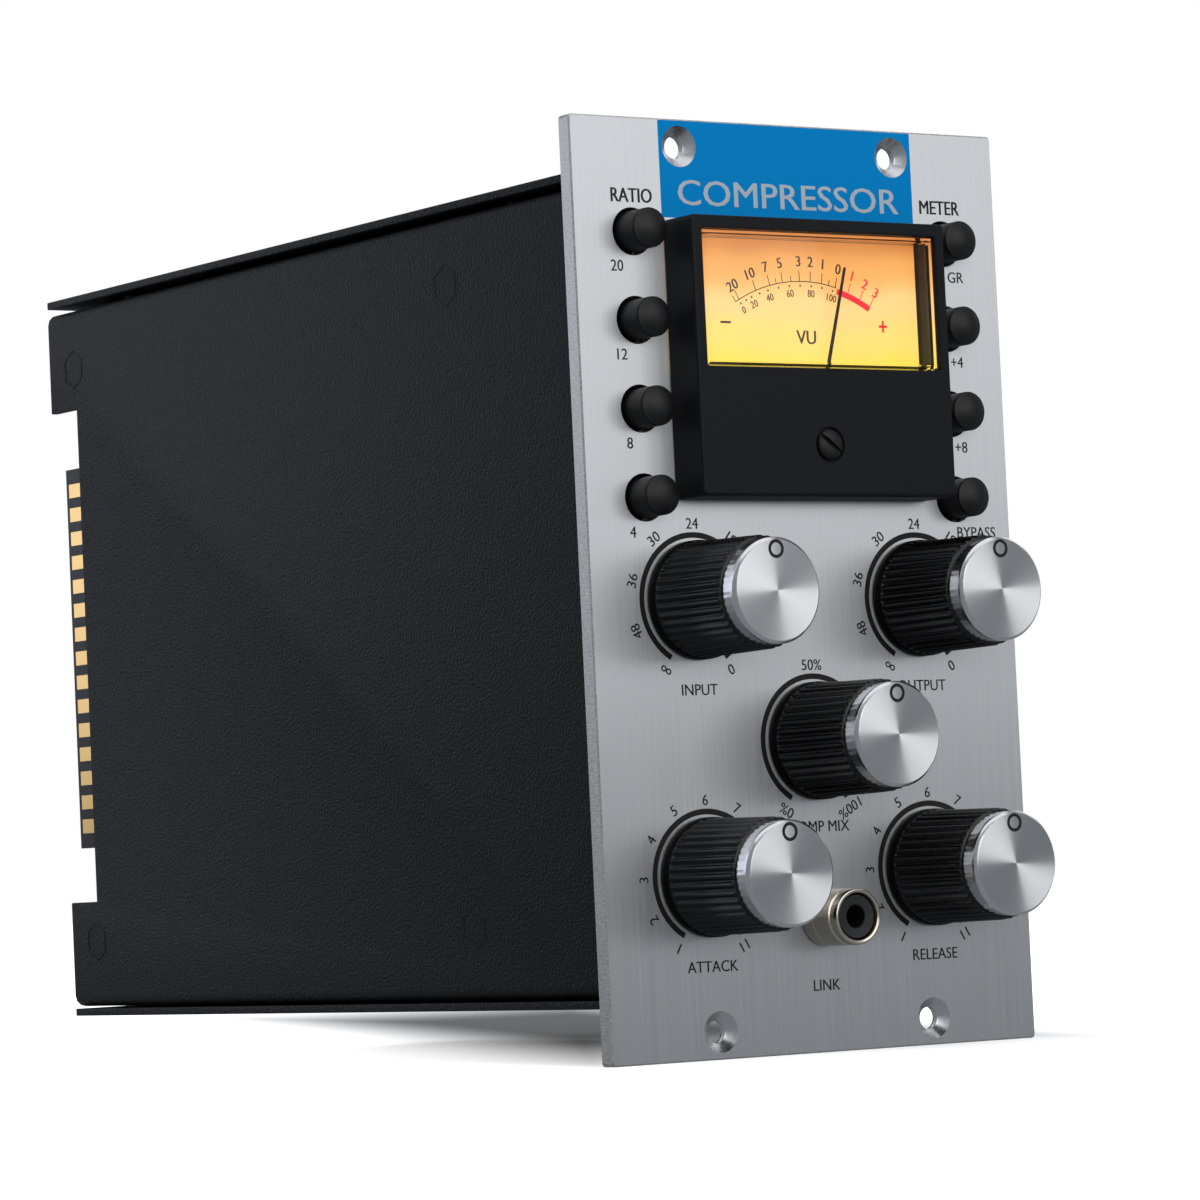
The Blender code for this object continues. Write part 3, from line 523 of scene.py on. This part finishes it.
def circle(bm, x, y, z, radius, sides=48):
    """The edges of a circle."""
    made = bmesh.ops.create_circle(
        bm, cap_ends=False, radius=radius, segments=sides, matrix=Matrix.Translation((x, y, z)),
    )
    return list({edge for vert in made["verts"] for edge in vert.link_edges})


def wall(bm, loops):
    """Joins each loop of edges to the next."""
    for first, second in zip(loops, loops[1:]):
        bmesh.ops.bridge_loops(bm, edges=first + second)


def carried_over(node, width=0.0, segments=2):
    """A copy of a CAD node's mesh, in metres, with its triangles merged and its sharp edges eased."""
    bm = bmesh.new()
    bm.from_mesh(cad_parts[node].data)
    bmesh.ops.remove_doubles(bm, verts=bm.verts, dist=0.001 * MM)
    bmesh.ops.dissolve_limit(
        bm, angle_limit=math.radians(1), verts=bm.verts, edges=bm.edges, use_dissolve_boundaries=False,
    )
    if width:
        ease(bm, width * MM, segments)
    for face in bm.faces:
        face.material_index = 0
    return bm


# Lettering

CONDENSED = 0.98          # the lettering's width against the built-in font's


def letters(bm, text, x, y, cap, turn=0.0, bold=0.05, width=None, narrow=CONDENSED):
    """Adds flat lettering whose capitals are cap high, centred at x, y and turned clockwise by degrees.
    A second copy, moved sideways by bold and a little lower, thickens the strokes."""
    curve = bpy.data.curves.new("letters", "FONT")
    curve.body = text
    curve.extrude = 0.5
    curve.resolution_u = 3
    holder = bpy.data.objects.new("letters", curve)
    mesh = bpy.data.meshes.new_from_object(holder)
    xs = [vert.co.x for vert in mesh.vertices]
    ys = [vert.co.y for vert in mesh.vertices]
    scale = cap / CAP_RATIO
    across = width / (max(xs) - min(xs)) if width else scale * narrow
    middle = ((max(xs) + min(xs)) / 2, CAP_RATIO / 2 if text != "-" else (max(ys) + min(ys)) / 2, 0)
    spot = Matrix.Translation((x, y, 0)) @ Matrix.Rotation(-math.radians(turn), 4, "Z")
    drawn = Matrix.Diagonal((across, scale, PRINT_T, 1)) @ Matrix.Translation([-value for value in middle])
    mesh.transform(spot @ Matrix.Translation((-bold / 2, 0, 0)) @ drawn)
    bm.from_mesh(mesh)
    mesh.transform(spot @ Matrix.Translation((bold, 0, -PRINT_T / 5)) @ spot.inverted())
    bm.from_mesh(mesh)
    bpy.data.objects.remove(holder)
    bpy.data.curves.remove(curve)
    bpy.data.meshes.remove(mesh)


CAP_RATIO = 0.72          # a capital's height in the built-in font at size 1


def stroke(bm, x, y, inner, outer, start, end, steps, z=0.0):
    """A printed arc round x, y. Angles are in degrees clockwise from upright."""
    old = set(bm.verts)
    low, high = z - PRINT_T / 2, z + PRINT_T / 2
    corners = [(inner, low), (outer, low), (outer, high), (inner, high)]
    verts = [bm.verts.new((0, radius, height)) for radius, height in corners]
    bm.faces.new(verts)
    turn = Matrix.Rotation(-math.radians(start), 3, "Z")
    bmesh.ops.rotate(bm, verts=verts, cent=(0, 0, 0), matrix=turn)
    face = verts[0].link_faces[0]
    bmesh.ops.spin(
        bm, geom=[face], cent=(0, 0, 0), axis=(0, 0, 1), angle=-math.radians(end - start), steps=steps,
    )
    new = [vert for vert in bm.verts if vert not in old]
    bmesh.ops.translate(bm, vec=(x, y, 0), verts=new)


def bar(bm, x, y, width, height, turn=0.0, z=0.0):
    """A printed bar."""
    matrix = (
        Matrix.Translation((x, y, z))
        @ Matrix.Rotation(-math.radians(turn), 4, "Z")
        @ Matrix.Diagonal((width, height, PRINT_T, 1))
    )
    bmesh.ops.create_cube(bm, size=1, matrix=matrix)


def around(x, y, radius, turn):
    """The point at a radius from x, y, at an angle clockwise from upright."""
    return x + radius * math.sin(math.radians(turn)), y + radius * math.cos(math.radians(turn))


# The panel

CHAMFER = 0.22
CORNER_R = 0.6
BAND_X = 22.6
BAND_LOW = 119.2


def rack_hole(bm, x, y):
    """A countersunk hole with a short thread. Returns its edges on the front and on the rear face."""
    loops = [circle(bm, x, y, 0, 2.95), circle(bm, x, y, -1.2, 1.74)]
    depth = -1.3
    while depth > -PANEL_T + 0.35:
        loops.append(circle(bm, x, y, depth, 1.6))
        loops.append(circle(bm, x, y, depth - 0.2, 1.78))
        depth -= 0.4
    loops.append(circle(bm, x, y, -PANEL_T, 1.7))
    wall(bm, loops)
    return loops[0], loops[-1]


def plain_hole(bm, x, y, radius, chamfer=0.12):
    loops = [
        circle(bm, x, y, 0, radius + chamfer),
        circle(bm, x, y, -chamfer, radius),
        circle(bm, x, y, -PANEL_T, radius),
    ]
    wall(bm, loops)
    return loops[0], loops[-1]


def make_panel():
    """The face panel: chamfered outline, rack holes, and openings for the controls and the meter."""
    bm = bmesh.new()
    half = PANEL_W / 2
    inset = [
        outline(bm, (-half + CHAMFER, CHAMFER), (half - CHAMFER, PANEL_H - CHAMFER), 0, CORNER_R - CHAMFER),
        outline(bm, (-half, 0), (half, PANEL_H), -CHAMFER, CORNER_R),
        outline(bm, (-half, 0), (half, PANEL_H), -PANEL_T, CORNER_R),
    ]
    wall(bm, inset)
    pairs = [(inset[0], inset[-1])]
    hole_z = (3.9, PANEL_H - 3.9)
    for x in (-19.05, 19.05):
        for y in hole_z:
            pairs.append(rack_hole(bm, x, y))
    for name in BUTTONS:
        x, y = center_of(name + "_button")
        pairs.append(plain_hole(bm, x, y, 3.3))
    for name in KNOBS:
        x, y = center_of(name + "_knob")
        pairs.append(plain_hole(bm, x, y, 3.8))
    x, y = center_of("link_jack_shell")
    pairs.append(plain_hole(bm, x, y, 3.3))
    can = 3.3                 # the meter's can is this much inside its housing
    low = (METER_LOW.x + can - 0.6, METER_LOW.z + can - 0.6)
    high = (METER_HIGH.x - can + 0.6, METER_HIGH.z - can + 0.6)
    opening = [outline(bm, low, high, 0, 0.5), outline(bm, low, high, -PANEL_T, 0.5)]
    wall(bm, opening)
    pairs.append((opening[0], opening[-1]))
    for side, normal in ((0, (0, 0, 1)), (1, (0, 0, -1))):
        edges = [edge for pair in pairs for edge in pair[side]]
        bmesh.ops.triangle_fill(bm, use_beauty=True, use_dissolve=False, edges=edges, normal=normal)
    bmesh.ops.recalc_face_normals(bm, faces=bm.faces)
    cuts = [((-BAND_X, 0, 0), (1, 0, 0)), ((BAND_X, 0, 0), (1, 0, 0)), ((0, BAND_LOW, 0), (0, 1, 0))]
    for point, normal in cuts:
        bmesh.ops.bisect_plane(
            bm, geom=bm.verts[:] + bm.edges[:] + bm.faces[:], plane_co=point, plane_no=normal, dist=0.0001,
        )
    grain = bm.loops.layers.uv.new("grain")
    for face in bm.faces:
        middle = face.calc_center_median()
        facing = face.normal.z
        if facing > 0.99:
            in_band = abs(middle.x) < BAND_X and middle.y > BAND_LOW
            face.material_index = 1 if in_band else 0
        elif abs(facing) > 0.99:
            face.material_index = 0
        elif abs(middle.x) > half - 0.3 or middle.y < 0.3 or middle.y > PANEL_H - 0.3:
            face.material_index = 2
        else:
            face.material_index = 3
        for loop in face.loops:
            loop[grain].uv = (loop.vert.co.x / 10, loop.vert.co.y / 10)
    piece(
        "face_plate", bm, ["aluminium", "blue", "edge", "turned"], "module",
        front_view(), ["front_panel"], 30,
    )


SCALES = {
    "input": ("INPUT", -12.6, ["∞", "48", "36", "30", "24", "18", "12", "6", "0"]),
    "output": ("OUTPUT", -12.6, ["∞", "48", "36", "30", "24", "18", "12", "6", "0"]),
    "mix": ("COMP MIX", -12.2, ["0%", "50%", "100%"]),
    "attack": ("ATTACK", -12.5, [str(n) for n in range(1, 12)]),
    "release": ("RELEASE", -12.5, [str(n) for n in range(1, 12)]),
}
BUTTON_WORDS = {
    "ratio_20": ("20", -2.9), "ratio_12": ("12", -2.7), "ratio_8": ("8", -2.1), "ratio_4": ("4", -2.3),
    "meter_gr": ("GR", 2.2), "meter_plus_4": ("+4", 1.7), "meter_plus_8": ("+8", 1.7),
    "bypass": ("BYPASS", 3.7),
}


def make_panel_print():
    bm = bmesh.new()
    for name, (word, drop, marks) in SCALES.items():
        x, y = center_of(name + "_knob")
        letters(bm, word, x, y + drop, 1.65)
        stroke(bm, x, y, 8.86, 9.68, -SWEEP, SWEEP, 90)
        for n, mark in enumerate(marks):
            turn = -SWEEP + 2 * SWEEP * n / (len(marks) - 1)
            reach = 10.95 + 0.45 * abs(turn) / SWEEP
            at = around(x, y, reach, turn)
            letters(bm, mark, *at, 1.6, turn)
    for name, (word, shift) in BUTTON_WORDS.items():
        x, y = center_of(name + "_button")
        letters(bm, word, x + shift, y - 4.85, 1.65)
    letters(bm, "RATIO", -27.7, 122.2, 2.1, bold=0.13, width=7.0)
    letters(bm, "METER", 27.6, 122.4, 2.1, bold=0.13, width=7.3)
    letters(bm, "LINK", 0, 9.65, 1.65)
    piece("panel_print", bm, ["ink"], "module", front_view(z=PRINT_T * 0.4))
    bm = bmesh.new()
    letters(bm, "COMPRESSOR", 0.2, 123.0, 3.75, bold=0.12, width=39.5)
    piece("band_print", bm, ["silver"], "module", front_view(z=PRINT_T * 0.4))


# The case

def make_case():
    piece(
        "chassis_shell", carried_over("main_chassis", 0.15), ["powder"], "module",
        Matrix.Identity(4), ["main_chassis"],
    )
    piece(
        "cover_shell", carried_over("left_side_cover", 0.15), ["powder"], "module",
        Matrix.Identity(4), ["left_side_cover"],
    )
    for place in ("top_front", "top_rear", "bottom_front", "bottom_rear"):
        node = "cover_screw_" + place
        piece(
            "coated_" + node, carried_over(node, 0.08), ["powder"], "module",
            Matrix.Identity(4), [node],
        )
    marks = bmesh.new()
    for place in ("lower_front", "upper_front", "lower_rear", "upper_rear"):
        low, high = box_mm("board_standoff_" + place)
        y, z = (low.y + high.y) / 2, (low.z + high.z) / 2
        ring = turned([(3.25, -0.2), (3.25, 0.03), (3.12, 0.09), (2.99, 0.03), (2.99, -0.2)], 6, ring=True)
        spot = Matrix.Translation((COVER_LOW.x, y, z)) @ Matrix.Rotation(math.radians(-90), 4, "Y")
        bmesh.ops.transform(ring, matrix=spot, verts=ring.verts)
        merge(marks, ring)
    piece(
        "standoff_marks", marks, ["powder"], "module", Matrix.Scale(MM, 4),
    )


def make_contacts():
    """Fifteen gold contacts on the card's left face, 3.96 mm apart."""
    bm = bmesh.new()
    pitch = 3.96
    middle = PANEL_H / 2
    for n in range(15):
        z = middle + (n - 7) * pitch
        matrix = (
            Matrix.Translation((BOARD_LOW.x, BOARD_HIGH.y - 1.25 - 5.5, z))
            @ Matrix.Diagonal((0.07, 11.0, 2.32, 1))
        )
        bmesh.ops.create_cube(bm, size=1, matrix=matrix)
    ease(bm, 0.03, 1)
    piece("edge_contacts", bm, ["gold"], "module", Matrix.Scale(MM, 4))


# Knobs

FLUTES = 40
SKIRT_TOP = 2.0


def grow(bm, face, height, radius, groove=0.0):
    """Extends a shape's end face to a ring of that radius and height, fluted by groove."""
    grown = bmesh.ops.extrude_face_region(bm, geom=[face])["geom"]
    if face.is_valid and len(bm.faces) > 2 * len(face.verts):
        bmesh.ops.delete(bm, geom=[face], context="FACES_ONLY")
    top = next(item for item in grown if isinstance(item, bmesh.types.BMFace))
    for vert in top.verts:
        angle = math.atan2(vert.co.y, vert.co.x)
        ridge = 0.5 + 0.5 * math.cos(angle * FLUTES)
        reach = radius - groove * (1 - ridge)
        vert.co = (reach * math.cos(angle), reach * math.sin(angle), height)
    return top


def make_knob(name):
    low, high = box_mm(name + "_knob")
    x, y = center_of(name + "_knob")
    tall = PANEL_LOW.y - low.y
    skirt = (high.x - low.x) / 2
    lift = 0.25
    bm = bmesh.new()
    sides = FLUTES * 10
    bmesh.ops.create_circle(
        bm, cap_ends=True, radius=skirt - 0.15, segments=sides, matrix=Matrix.Translation((0, 0, lift)),
    )
    base = bm.faces[:][0]
    first = bmesh.ops.extrude_face_region(bm, geom=[base])["geom"]
    top = next(item for item in first if isinstance(item, bmesh.types.BMFace))
    for vert in top.verts:
        angle = math.atan2(vert.co.y, vert.co.x)
        vert.co = (skirt * math.cos(angle), skirt * math.sin(angle), lift + 0.15)
    rings = [
        (1.75, skirt, 0.0), (1.95, skirt - 0.15, 0.0), (2.05, 8.28, 0.1), (2.3, 8.22, 0.55),
        (tall - 0.9, 8.0, 0.55), (tall - 0.45, 7.97, 0.45), (tall - 0.15, 7.88, 0.2), (tall, 7.7, 0.0),
    ]
    for height, radius, groove in rings:
        top = grow(bm, top, height, radius, groove)
    hollow = base
    for height, radius in [(lift, 6.4), (5.0, 6.4), (5.0, 3.3), (13.3, 3.3)]:
        hollow = grow(bm, hollow, height, radius)
    bmesh.ops.recalc_face_normals(bm, faces=bm.faces)
    for face in bm.faces:
        face.material_index = 1 if face.calc_center_median().z < SKIRT_TOP else 0
    piece(
        name + "_fluted_knob", bm, ["knob", "skirt"], name + "_control",
        front_view(x, y), [name + "_knob"], 65,
    )
    make_cap(name, x, y)


TEETH = 50


def make_cap(name, x, y):
    low, high = box_mm(name + "_knob_cap")
    radius = (high.x - low.x) / 2
    front = PANEL_LOW.y - low.y
    back = PANEL_LOW.y - box_mm(name + "_knob")[0].y + 0.08
    sides = TEETH * 4
    rim = radius - 0.42
    profile = [(0, front), (0.25, front - 0.02), (0.5, front)]
    profile += [(radius * share, front) for share in (0.2, 0.35, 0.5, 0.65, 0.8)]
    profile += [
        (rim - 0.03, front), (rim, front - 0.02), (radius - 0.04, front - 0.4), (radius, front - 0.48),
        (radius, front - 0.95), (radius, front - 1.5), (radius, back + 0.1), (radius - 0.1, back), (0, back),
    ]
    bm = turned(profile, sides)
    for vert in bm.verts:
        if back + 0.05 < vert.co.z < front - 1.0 and vert.co.xy.length > rim:
            angle = math.atan2(vert.co.y, vert.co.x)
            dip = 0.045 * (0.5 - 0.5 * math.cos(angle * TEETH))
            vert.co.x *= 1 - dip / radius
            vert.co.y *= 1 - dip / radius
    rings = bm.loops.layers.uv.new("rings")
    for face in bm.faces:
        middle = face.calc_center_median()
        face.material_index = 0 if face.normal.z > 0.9 else 1
        around_it = math.atan2(middle.y, middle.x)
        for loop in face.loops:
            co = loop.vert.co
            angle = math.atan2(co.y, co.x) if co.xy.length > 0.01 else around_it
            angle += 2 * math.pi * round((around_it - angle) / (2 * math.pi))
            loop[rings].uv = (co.xy.length / 10, angle / (2 * math.pi))
    piece(
        name + "_spun_cap", bm, ["spun", "polished"], name + "_control",
        front_view(x, y), [name + "_knob_cap"], 30,
    )
    ring = bmesh.new()
    stroke(ring, 0, 5.75, 0.86, 1.32, 0, 360, 40)
    bmesh.ops.remove_doubles(ring, verts=ring.verts, dist=0.001)
    piece(
        name + "_index_ring", ring, ["ink"], name + "_control",
        front_view(x, y, front + PRINT_T * 0.4),
    )


# Buttons

def make_button(name):
    low, high = box_mm(name + "_button")
    x, y = center_of(name + "_button")
    radius = (high.x - low.x) / 2
    proud = PANEL_LOW.y - low.y
    tail = PANEL_LOW.y - high.y
    shoulder = proud - 0.95
    profile = [(0, proud)]
    dome = radius - 0.32
    for n in range(1, 9):
        share = n / 8
        profile.append((dome * share, proud - 0.72 * share ** 2.2))
    profile += arc((radius - 0.22, shoulder - 0.05), 0.22, 75, 0, 4)
    profile += [(radius - 0.1, shoulder - 0.12), (radius - 0.1, shoulder - 0.24), (radius, shoulder - 0.34)]
    profile += [(radius, -2.4), (1.3, -2.4), (1.3, tail), (0, tail)]
    bm = turned(profile, 56)
    piece(
        name + "_cap", bm, ["button"], name + "_push",
        front_view(x, y), [name + "_button"], 28,
    )


# The meter

def make_meter_housing():
    """The moulded front, with its window opening, the sink for the screw and the box behind the dial."""
    bm = bmesh.new()
    left, right = METER_LOW.x, METER_HIGH.x
    low, high = METER_LOW.z, METER_HIGH.z
    face = PANEL_LOW.y - METER_LOW.y
    round_off = 0.45
    skirt_r = 0.7
    loops = []
    shoulder = round_off * 0.29
    for inset, z in ((round_off, face), (shoulder, face - shoulder), (0, face - round_off), (0, 0.3)):
        corners = (left + inset, low + inset), (right - inset, high - inset)
        loops.append(outline(bm, *corners, z, skirt_r - inset * 0.8))
    wall(bm, loops)
    opening_low = (WINDOW_LOW.x - 0.25, WINDOW_LOW.z - 0.25)
    opening_high = (WINDOW_HIGH.x + 0.25, WINDOW_HIGH.z + 0.25)
    hole = []
    for grown, z in ((0.15, face), (0, face - 0.15), (0, 1.2)):
        hole.append(outline(
            bm, (opening_low[0] - grown, opening_low[1] - grown),
            (opening_high[0] + grown, opening_high[1] + grown), z, 0.3 + grown,
        ))
    wall(bm, hole)
    sink = [
        circle(bm, 0, PIVOT_HEIGHT, face, 2.6), circle(bm, 0, PIVOT_HEIGHT, face - 0.1, 2.5),
        circle(bm, 0, PIVOT_HEIGHT, face - 0.5, 2.5),
    ]
    wall(bm, sink)
    bmesh.ops.contextual_create(bm, geom=sink[-1])
    bmesh.ops.triangle_fill(
        bm, use_beauty=True, use_dissolve=False, edges=loops[0] + hole[0] + sink[0], normal=(0, 0, 1),
    )
    bmesh.ops.triangle_fill(
        bm, use_beauty=True, use_dissolve=False, edges=loops[-1] + hole[-1], normal=(0, 0, -1),
    )
    bmesh.ops.recalc_face_normals(bm, faces=bm.faces)
    piece(
        "meter_housing", bm, ["meter"], "module", front_view(), ["meter_case"], 20,
    )


def make_window():
    """A clear moulded tray: its front and the flange that runs back inside the opening."""
    face = PANEL_LOW.y - WINDOW_LOW.y
    deep = 3.6
    bm = block((WINDOW_LOW.x, WINDOW_LOW.z, face - deep), (WINDOW_HIGH.x, WINDOW_HIGH.z, face))
    back = min(bm.faces, key=lambda side: side.calc_center_median().z)
    bmesh.ops.inset_region(bm, faces=[back], thickness=0.95)
    floor = bmesh.ops.extrude_discrete_faces(bm, faces=[back])["faces"][0]
    bmesh.ops.translate(bm, vec=(0, 0, deep - 1.15), verts=floor.verts)
    rim = [edge for edge in bm.edges if min(vert.co.z for vert in edge.verts) > face - 0.01]
    bmesh.ops.bevel(
        bm, geom=rim, offset=0.45, segments=1, profile=0.5, affect="EDGES", material=-1,
    )
    bmesh.ops.recalc_face_normals(bm, faces=bm.faces)
    piece("window_tray", bm, ["acrylic"], "module", front_view(), ["meter_window"], 20)


VOLUME_MARKS = {
    "20": -28.5, "10": -20.5, "7": -14.2, "5": -8.6, "3": -1.3, "2": 3.3, "1": 8.1, "0": 14.1,
    "1 ": 19.8, "2 ": 25.3, "3 ": 30.1,
}
SMALL_TICKS = [-11.3, -4.9, 11.2, 16.9]
PERCENT = {"0": -28.5, "20": -23.2, "40": -15.5, "60": -5.9, "80": 3.7, "100": 13.2}
SCALE_R = 24.0


def make_dial():
    dial = block(
        (DIAL_LOW.x, DIAL_LOW.z, PANEL_LOW.y - DIAL_HIGH.y),
        (DIAL_HIGH.x, DIAL_HIGH.z, PANEL_LOW.y - DIAL_LOW.y),
    )
    piece("dial_card", dial, ["dial"], "module", front_view(), ["meter_dial"])
    front = PANEL_LOW.y - DIAL_LOW.y
    black = bmesh.new()
    red = bmesh.new()
    stroke(black, 0, PIVOT_HEIGHT, SCALE_R - 0.07, SCALE_R + 0.07, -30, 14.6, 40)
    stroke(red, 0, PIVOT_HEIGHT, SCALE_R - 0.95, SCALE_R - 0.05, 15.0, 30.3, 20)
    for mark, turn in VOLUME_MARKS.items():
        ink = red if turn > 15 else black
        at = around(0, PIVOT_HEIGHT, SCALE_R + 0.75, turn)
        bar(ink, *at, 0.13, 1.5, turn)
        reach = 26.95 - 0.7 * (turn / 30) ** 2
        letters(ink, mark.strip(), *around(0, PIVOT_HEIGHT, reach, turn), 1.55, turn, 0.1, narrow=0.95)
    for turn in SMALL_TICKS:
        ink = red if turn > 15 else black
        bar(ink, *around(0, PIVOT_HEIGHT, SCALE_R + 0.4, turn), 0.13, 0.8, turn)
    bar(black, *around(0, PIVOT_HEIGHT, SCALE_R + 0.5, -30.2), 0.13, 1.0, -30.2)
    places = sorted(PERCENT.values())
    dots = places + [(a + b) / 2 for a, b in zip(places, places[1:])]
    for turn in dots:
        at = around(0, PIVOT_HEIGHT, SCALE_R - 0.62, turn)
        bmesh.ops.create_cone(
            black, cap_ends=True, segments=16, radius1=0.16, radius2=0.16, depth=PRINT_T,
            matrix=Matrix.Translation((*at, 0)),
        )
    for mark, turn in PERCENT.items():
        at = around(0, PIVOT_HEIGHT, SCALE_R - 1.65, turn)
        letters(black, mark, *at, 1.1, turn, narrow=0.85)
    letters(black, "VU", 0.2, 102.4, 2.05, 0, 0.12, narrow=0.96)
    bar(black, -14.0, 104.2, 1.85, 0.33)
    bar(red, 14.2, 104.2, 1.5, 0.36)
    bar(red, 14.2, 104.2, 0.36, 1.7)
    place = front_view(z=front + PRINT_T * 0.4)
    piece("dial_print_black", black, ["dial_black"], "module", place)
    piece("dial_print_red", red, ["dial_red"], "module", place)


def make_lamps():
    """Two small lamps below the window, behind the housing's front."""
    bm = bmesh.new()
    z = PANEL_LOW.y - DIAL_LOW.y + 2.2
    for x in (-9.0, 9.5):
        made = turned([(0, 1.6)] + arc((0, 0.9), 0.7, 80, 0, 6) + [(0.7, -1.6), (0, -1.6)], 20)
        turn = Matrix.Translation((x, WINDOW_LOW.z - 1.3, z)) @ Matrix.Rotation(math.radians(90), 4, "Y")
        bmesh.ops.transform(made, matrix=turn, verts=made.verts)
        merge(bm, made)
    piece("dial_lamps", bm, ["lamp"], "module", front_view())


def make_meter_fittings():
    piece(
        "needle_blade", carried_over("meter_needle", 0.02, 1), ["needle"], "needle",
        Matrix.Identity(4), ["meter_needle"],
    )
    piece(
        "adjuster_head", carried_over("zero_adjust_screw", 0.07), ["button"], "zero_screw",
        Matrix.Identity(4), ["zero_adjust_screw"],
    )


# The link jack

def make_jack():
    x, y = center_of("link_jack_shell")
    reach = PANEL_LOW.y - JACK_LOW.y
    tail = PANEL_LOW.y - JACK_HIGH.y
    profile = [(3.3, reach - 0.35), (3.42, reach - 0.1)]
    profile += arc((3.72, reach - 0.28), 0.28, 110, 0, 5)
    profile += [
        (4.05, reach - 0.55), (4.05, reach - 1.25), (3.82, reach - 1.4), (3.82, reach - 1.7),
        (4.05, reach - 1.85), (4.05, 2.75), (4.0, 2.68), (4.05, 2.6), (4.05, 0.3), (3.0, 0.3),
        (3.0, tail), (2.4, tail), (2.4, 2.0), (3.3, 2.0),
    ]
    piece(
        "jack_barrel", turned(profile, 64, ring=True), ["nickel"], "module",
        front_view(x, y), ["link_jack_shell"], 28,
    )
    disc_tail = PANEL_LOW.y - box_mm("link_jack_insulator")[1].y
    profile = [
        (1.6, reach - 0.75), (1.75, reach - 0.6), (3.05, reach - 0.5), (3.1, reach - 0.6),
        (3.1, 2.3), (2.1, 2.3), (2.1, disc_tail), (0, disc_tail), (0, 2.4), (1.6, 2.4),
    ]
    piece(
        "jack_insulator", turned(profile, 48, ring=True), ["plastic"], "module",
        front_view(x, y), ["link_jack_insulator"], 28,
    )


# CAD nodes that keep their own shape

def dress(node, finish):
    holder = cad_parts[node]
    if not holder.material_slots:
        holder.data.materials.append(None)
    for place in holder.material_slots:
        place.material = FINISHES[finish]


def dress_nodes():
    for node in ("main_board", "control_board"):
        dress(node, "mask")
    for end in ("front", "rear"):
        for level in ("lower", "upper"):
            dress(f"board_standoff_{level}_{end}", "zinc")
    for name in KNOBS:
        dress(name + "_pot", "pot")
        dress(name + "_nut", "steel")
        dress(name + "_shaft", "steel")
    dress("front_bracket", "zinc")
    dress("meter_movement", "zinc")
    dress("link_jack_nut", "nickel")
    dress("ratio_switch_bank", "plastic")
    dress("meter_switch_bank", "plastic")
    dress("output_transformer", "core")
    dress("filter_capacitor", "sleeve")


# Studio

def softbox(name, at, aim, size, radiance, colour="#ffffff"):
    """A soft light of even brightness, facing a point. Its place and size are in mm."""
    light = bpy.data.lights.new(name, "AREA")
    light.shape = "RECTANGLE"
    light.size = size[0] * MM
    light.size_y = size[1] * MM
    light.energy = radiance * math.pi * light.size * light.size_y
    light.color = srgb(colour)[:3]
    holder = bpy.data.objects.new(name, light)
    holder.location = Vector(at) * MM
    holder.rotation_euler = (Vector(aim) - Vector(at)).to_track_quat("-Z", "Y").to_euler()
    bpy.context.scene.collection.objects.link(holder)


def make_floor():
    bm = bmesh.new()
    bmesh.ops.create_grid(bm, x_segments=8, y_segments=8, size=8.0)
    mesh = bpy.data.meshes.new("floor")
    bm.to_mesh(mesh)
    bm.free()
    # the floor's material carries a painted shadow strip behind the module
    mesh.materials.append(white_paper())
    floor = bpy.data.objects.new("floor", mesh)
    bpy.context.scene.collection.objects.link(floor)
    floor.visible_glossy = False
    floor.visible_diffuse = False


def make_studio():
    softbox("key_softbox", (-15, -950, 566), (-15, 0, 566), (1470, 968), 1.8)
    softbox("top_softbox", (0, 50, 1000), (0, 50, 0), (1150, 1100), 0.9)
    softbox("rear_softbox", (-300, 420, 210), (-37, 80, 210), (420, 300), 1.1, "#e8efff")
    softbox("left_softbox", (-650, 50, 600), (0, 50, 60), (500, 400), 0.9, "#e8efff")
    softbox("right_softbox", (650, 450, 500), (0, 80, 60), (500, 400), 1.0)
    make_floor()
    world = bpy.data.worlds.new("studio")
    bpy.context.scene.world = world
    world.use_nodes = True
    room = world.node_tree.nodes["Background"]
    room.inputs["Color"].default_value = (0.25, 0.267, 0.284, 1)
    backdrop = add(world, "ShaderNodeBackground", {"Color": (1, 1, 1, 1)})
    ray = add(world, "ShaderNodeLightPath", {})
    mix = add(
        world, "ShaderNodeMixShader",
        {0: ray.outputs["Is Camera Ray"], 1: room.outputs[0], 2: backdrop.outputs[0]},
    )
    world.node_tree.links.new(mix.outputs[0], world.node_tree.nodes["World Output"].inputs["Surface"])
    bpy.context.scene.view_settings.view_transform = "Standard"


CAMERA_AT = (-441.65, -586.86, 25.13)
CAMERA_HEADING = 34.691   # degrees to the right of straight ahead
CAMERA_TILT = 3.201       # degrees upwards
CAMERA_ROLL = -2.687
CAMERA_LENS = 153.49


def make_camera():
    lens = bpy.data.cameras.new("camera")
    lens.lens = CAMERA_LENS
    lens.sensor_width = 36.0
    lens.clip_start = 0.05
    camera = bpy.data.objects.new("camera", lens)
    camera.matrix_world = (
        Matrix.Translation([value * MM for value in CAMERA_AT])
        @ Matrix.Rotation(-math.radians(CAMERA_HEADING), 4, "Z")
        @ Matrix.Rotation(math.radians(90 + CAMERA_TILT), 4, "X")
        @ Matrix.Rotation(math.radians(CAMERA_ROLL), 4, "Z")
    )
    bpy.context.scene.collection.objects.link(camera)
    bpy.context.scene.camera = camera


make_panel()
make_panel_print()
make_case()
make_contacts()
for name in KNOBS:
    make_knob(name)
for name in BUTTONS:
    make_button(name)
make_meter_housing()
make_window()
make_dial()
make_lamps()
make_meter_fittings()
make_jack()
dress_nodes()
make_studio()
make_camera()
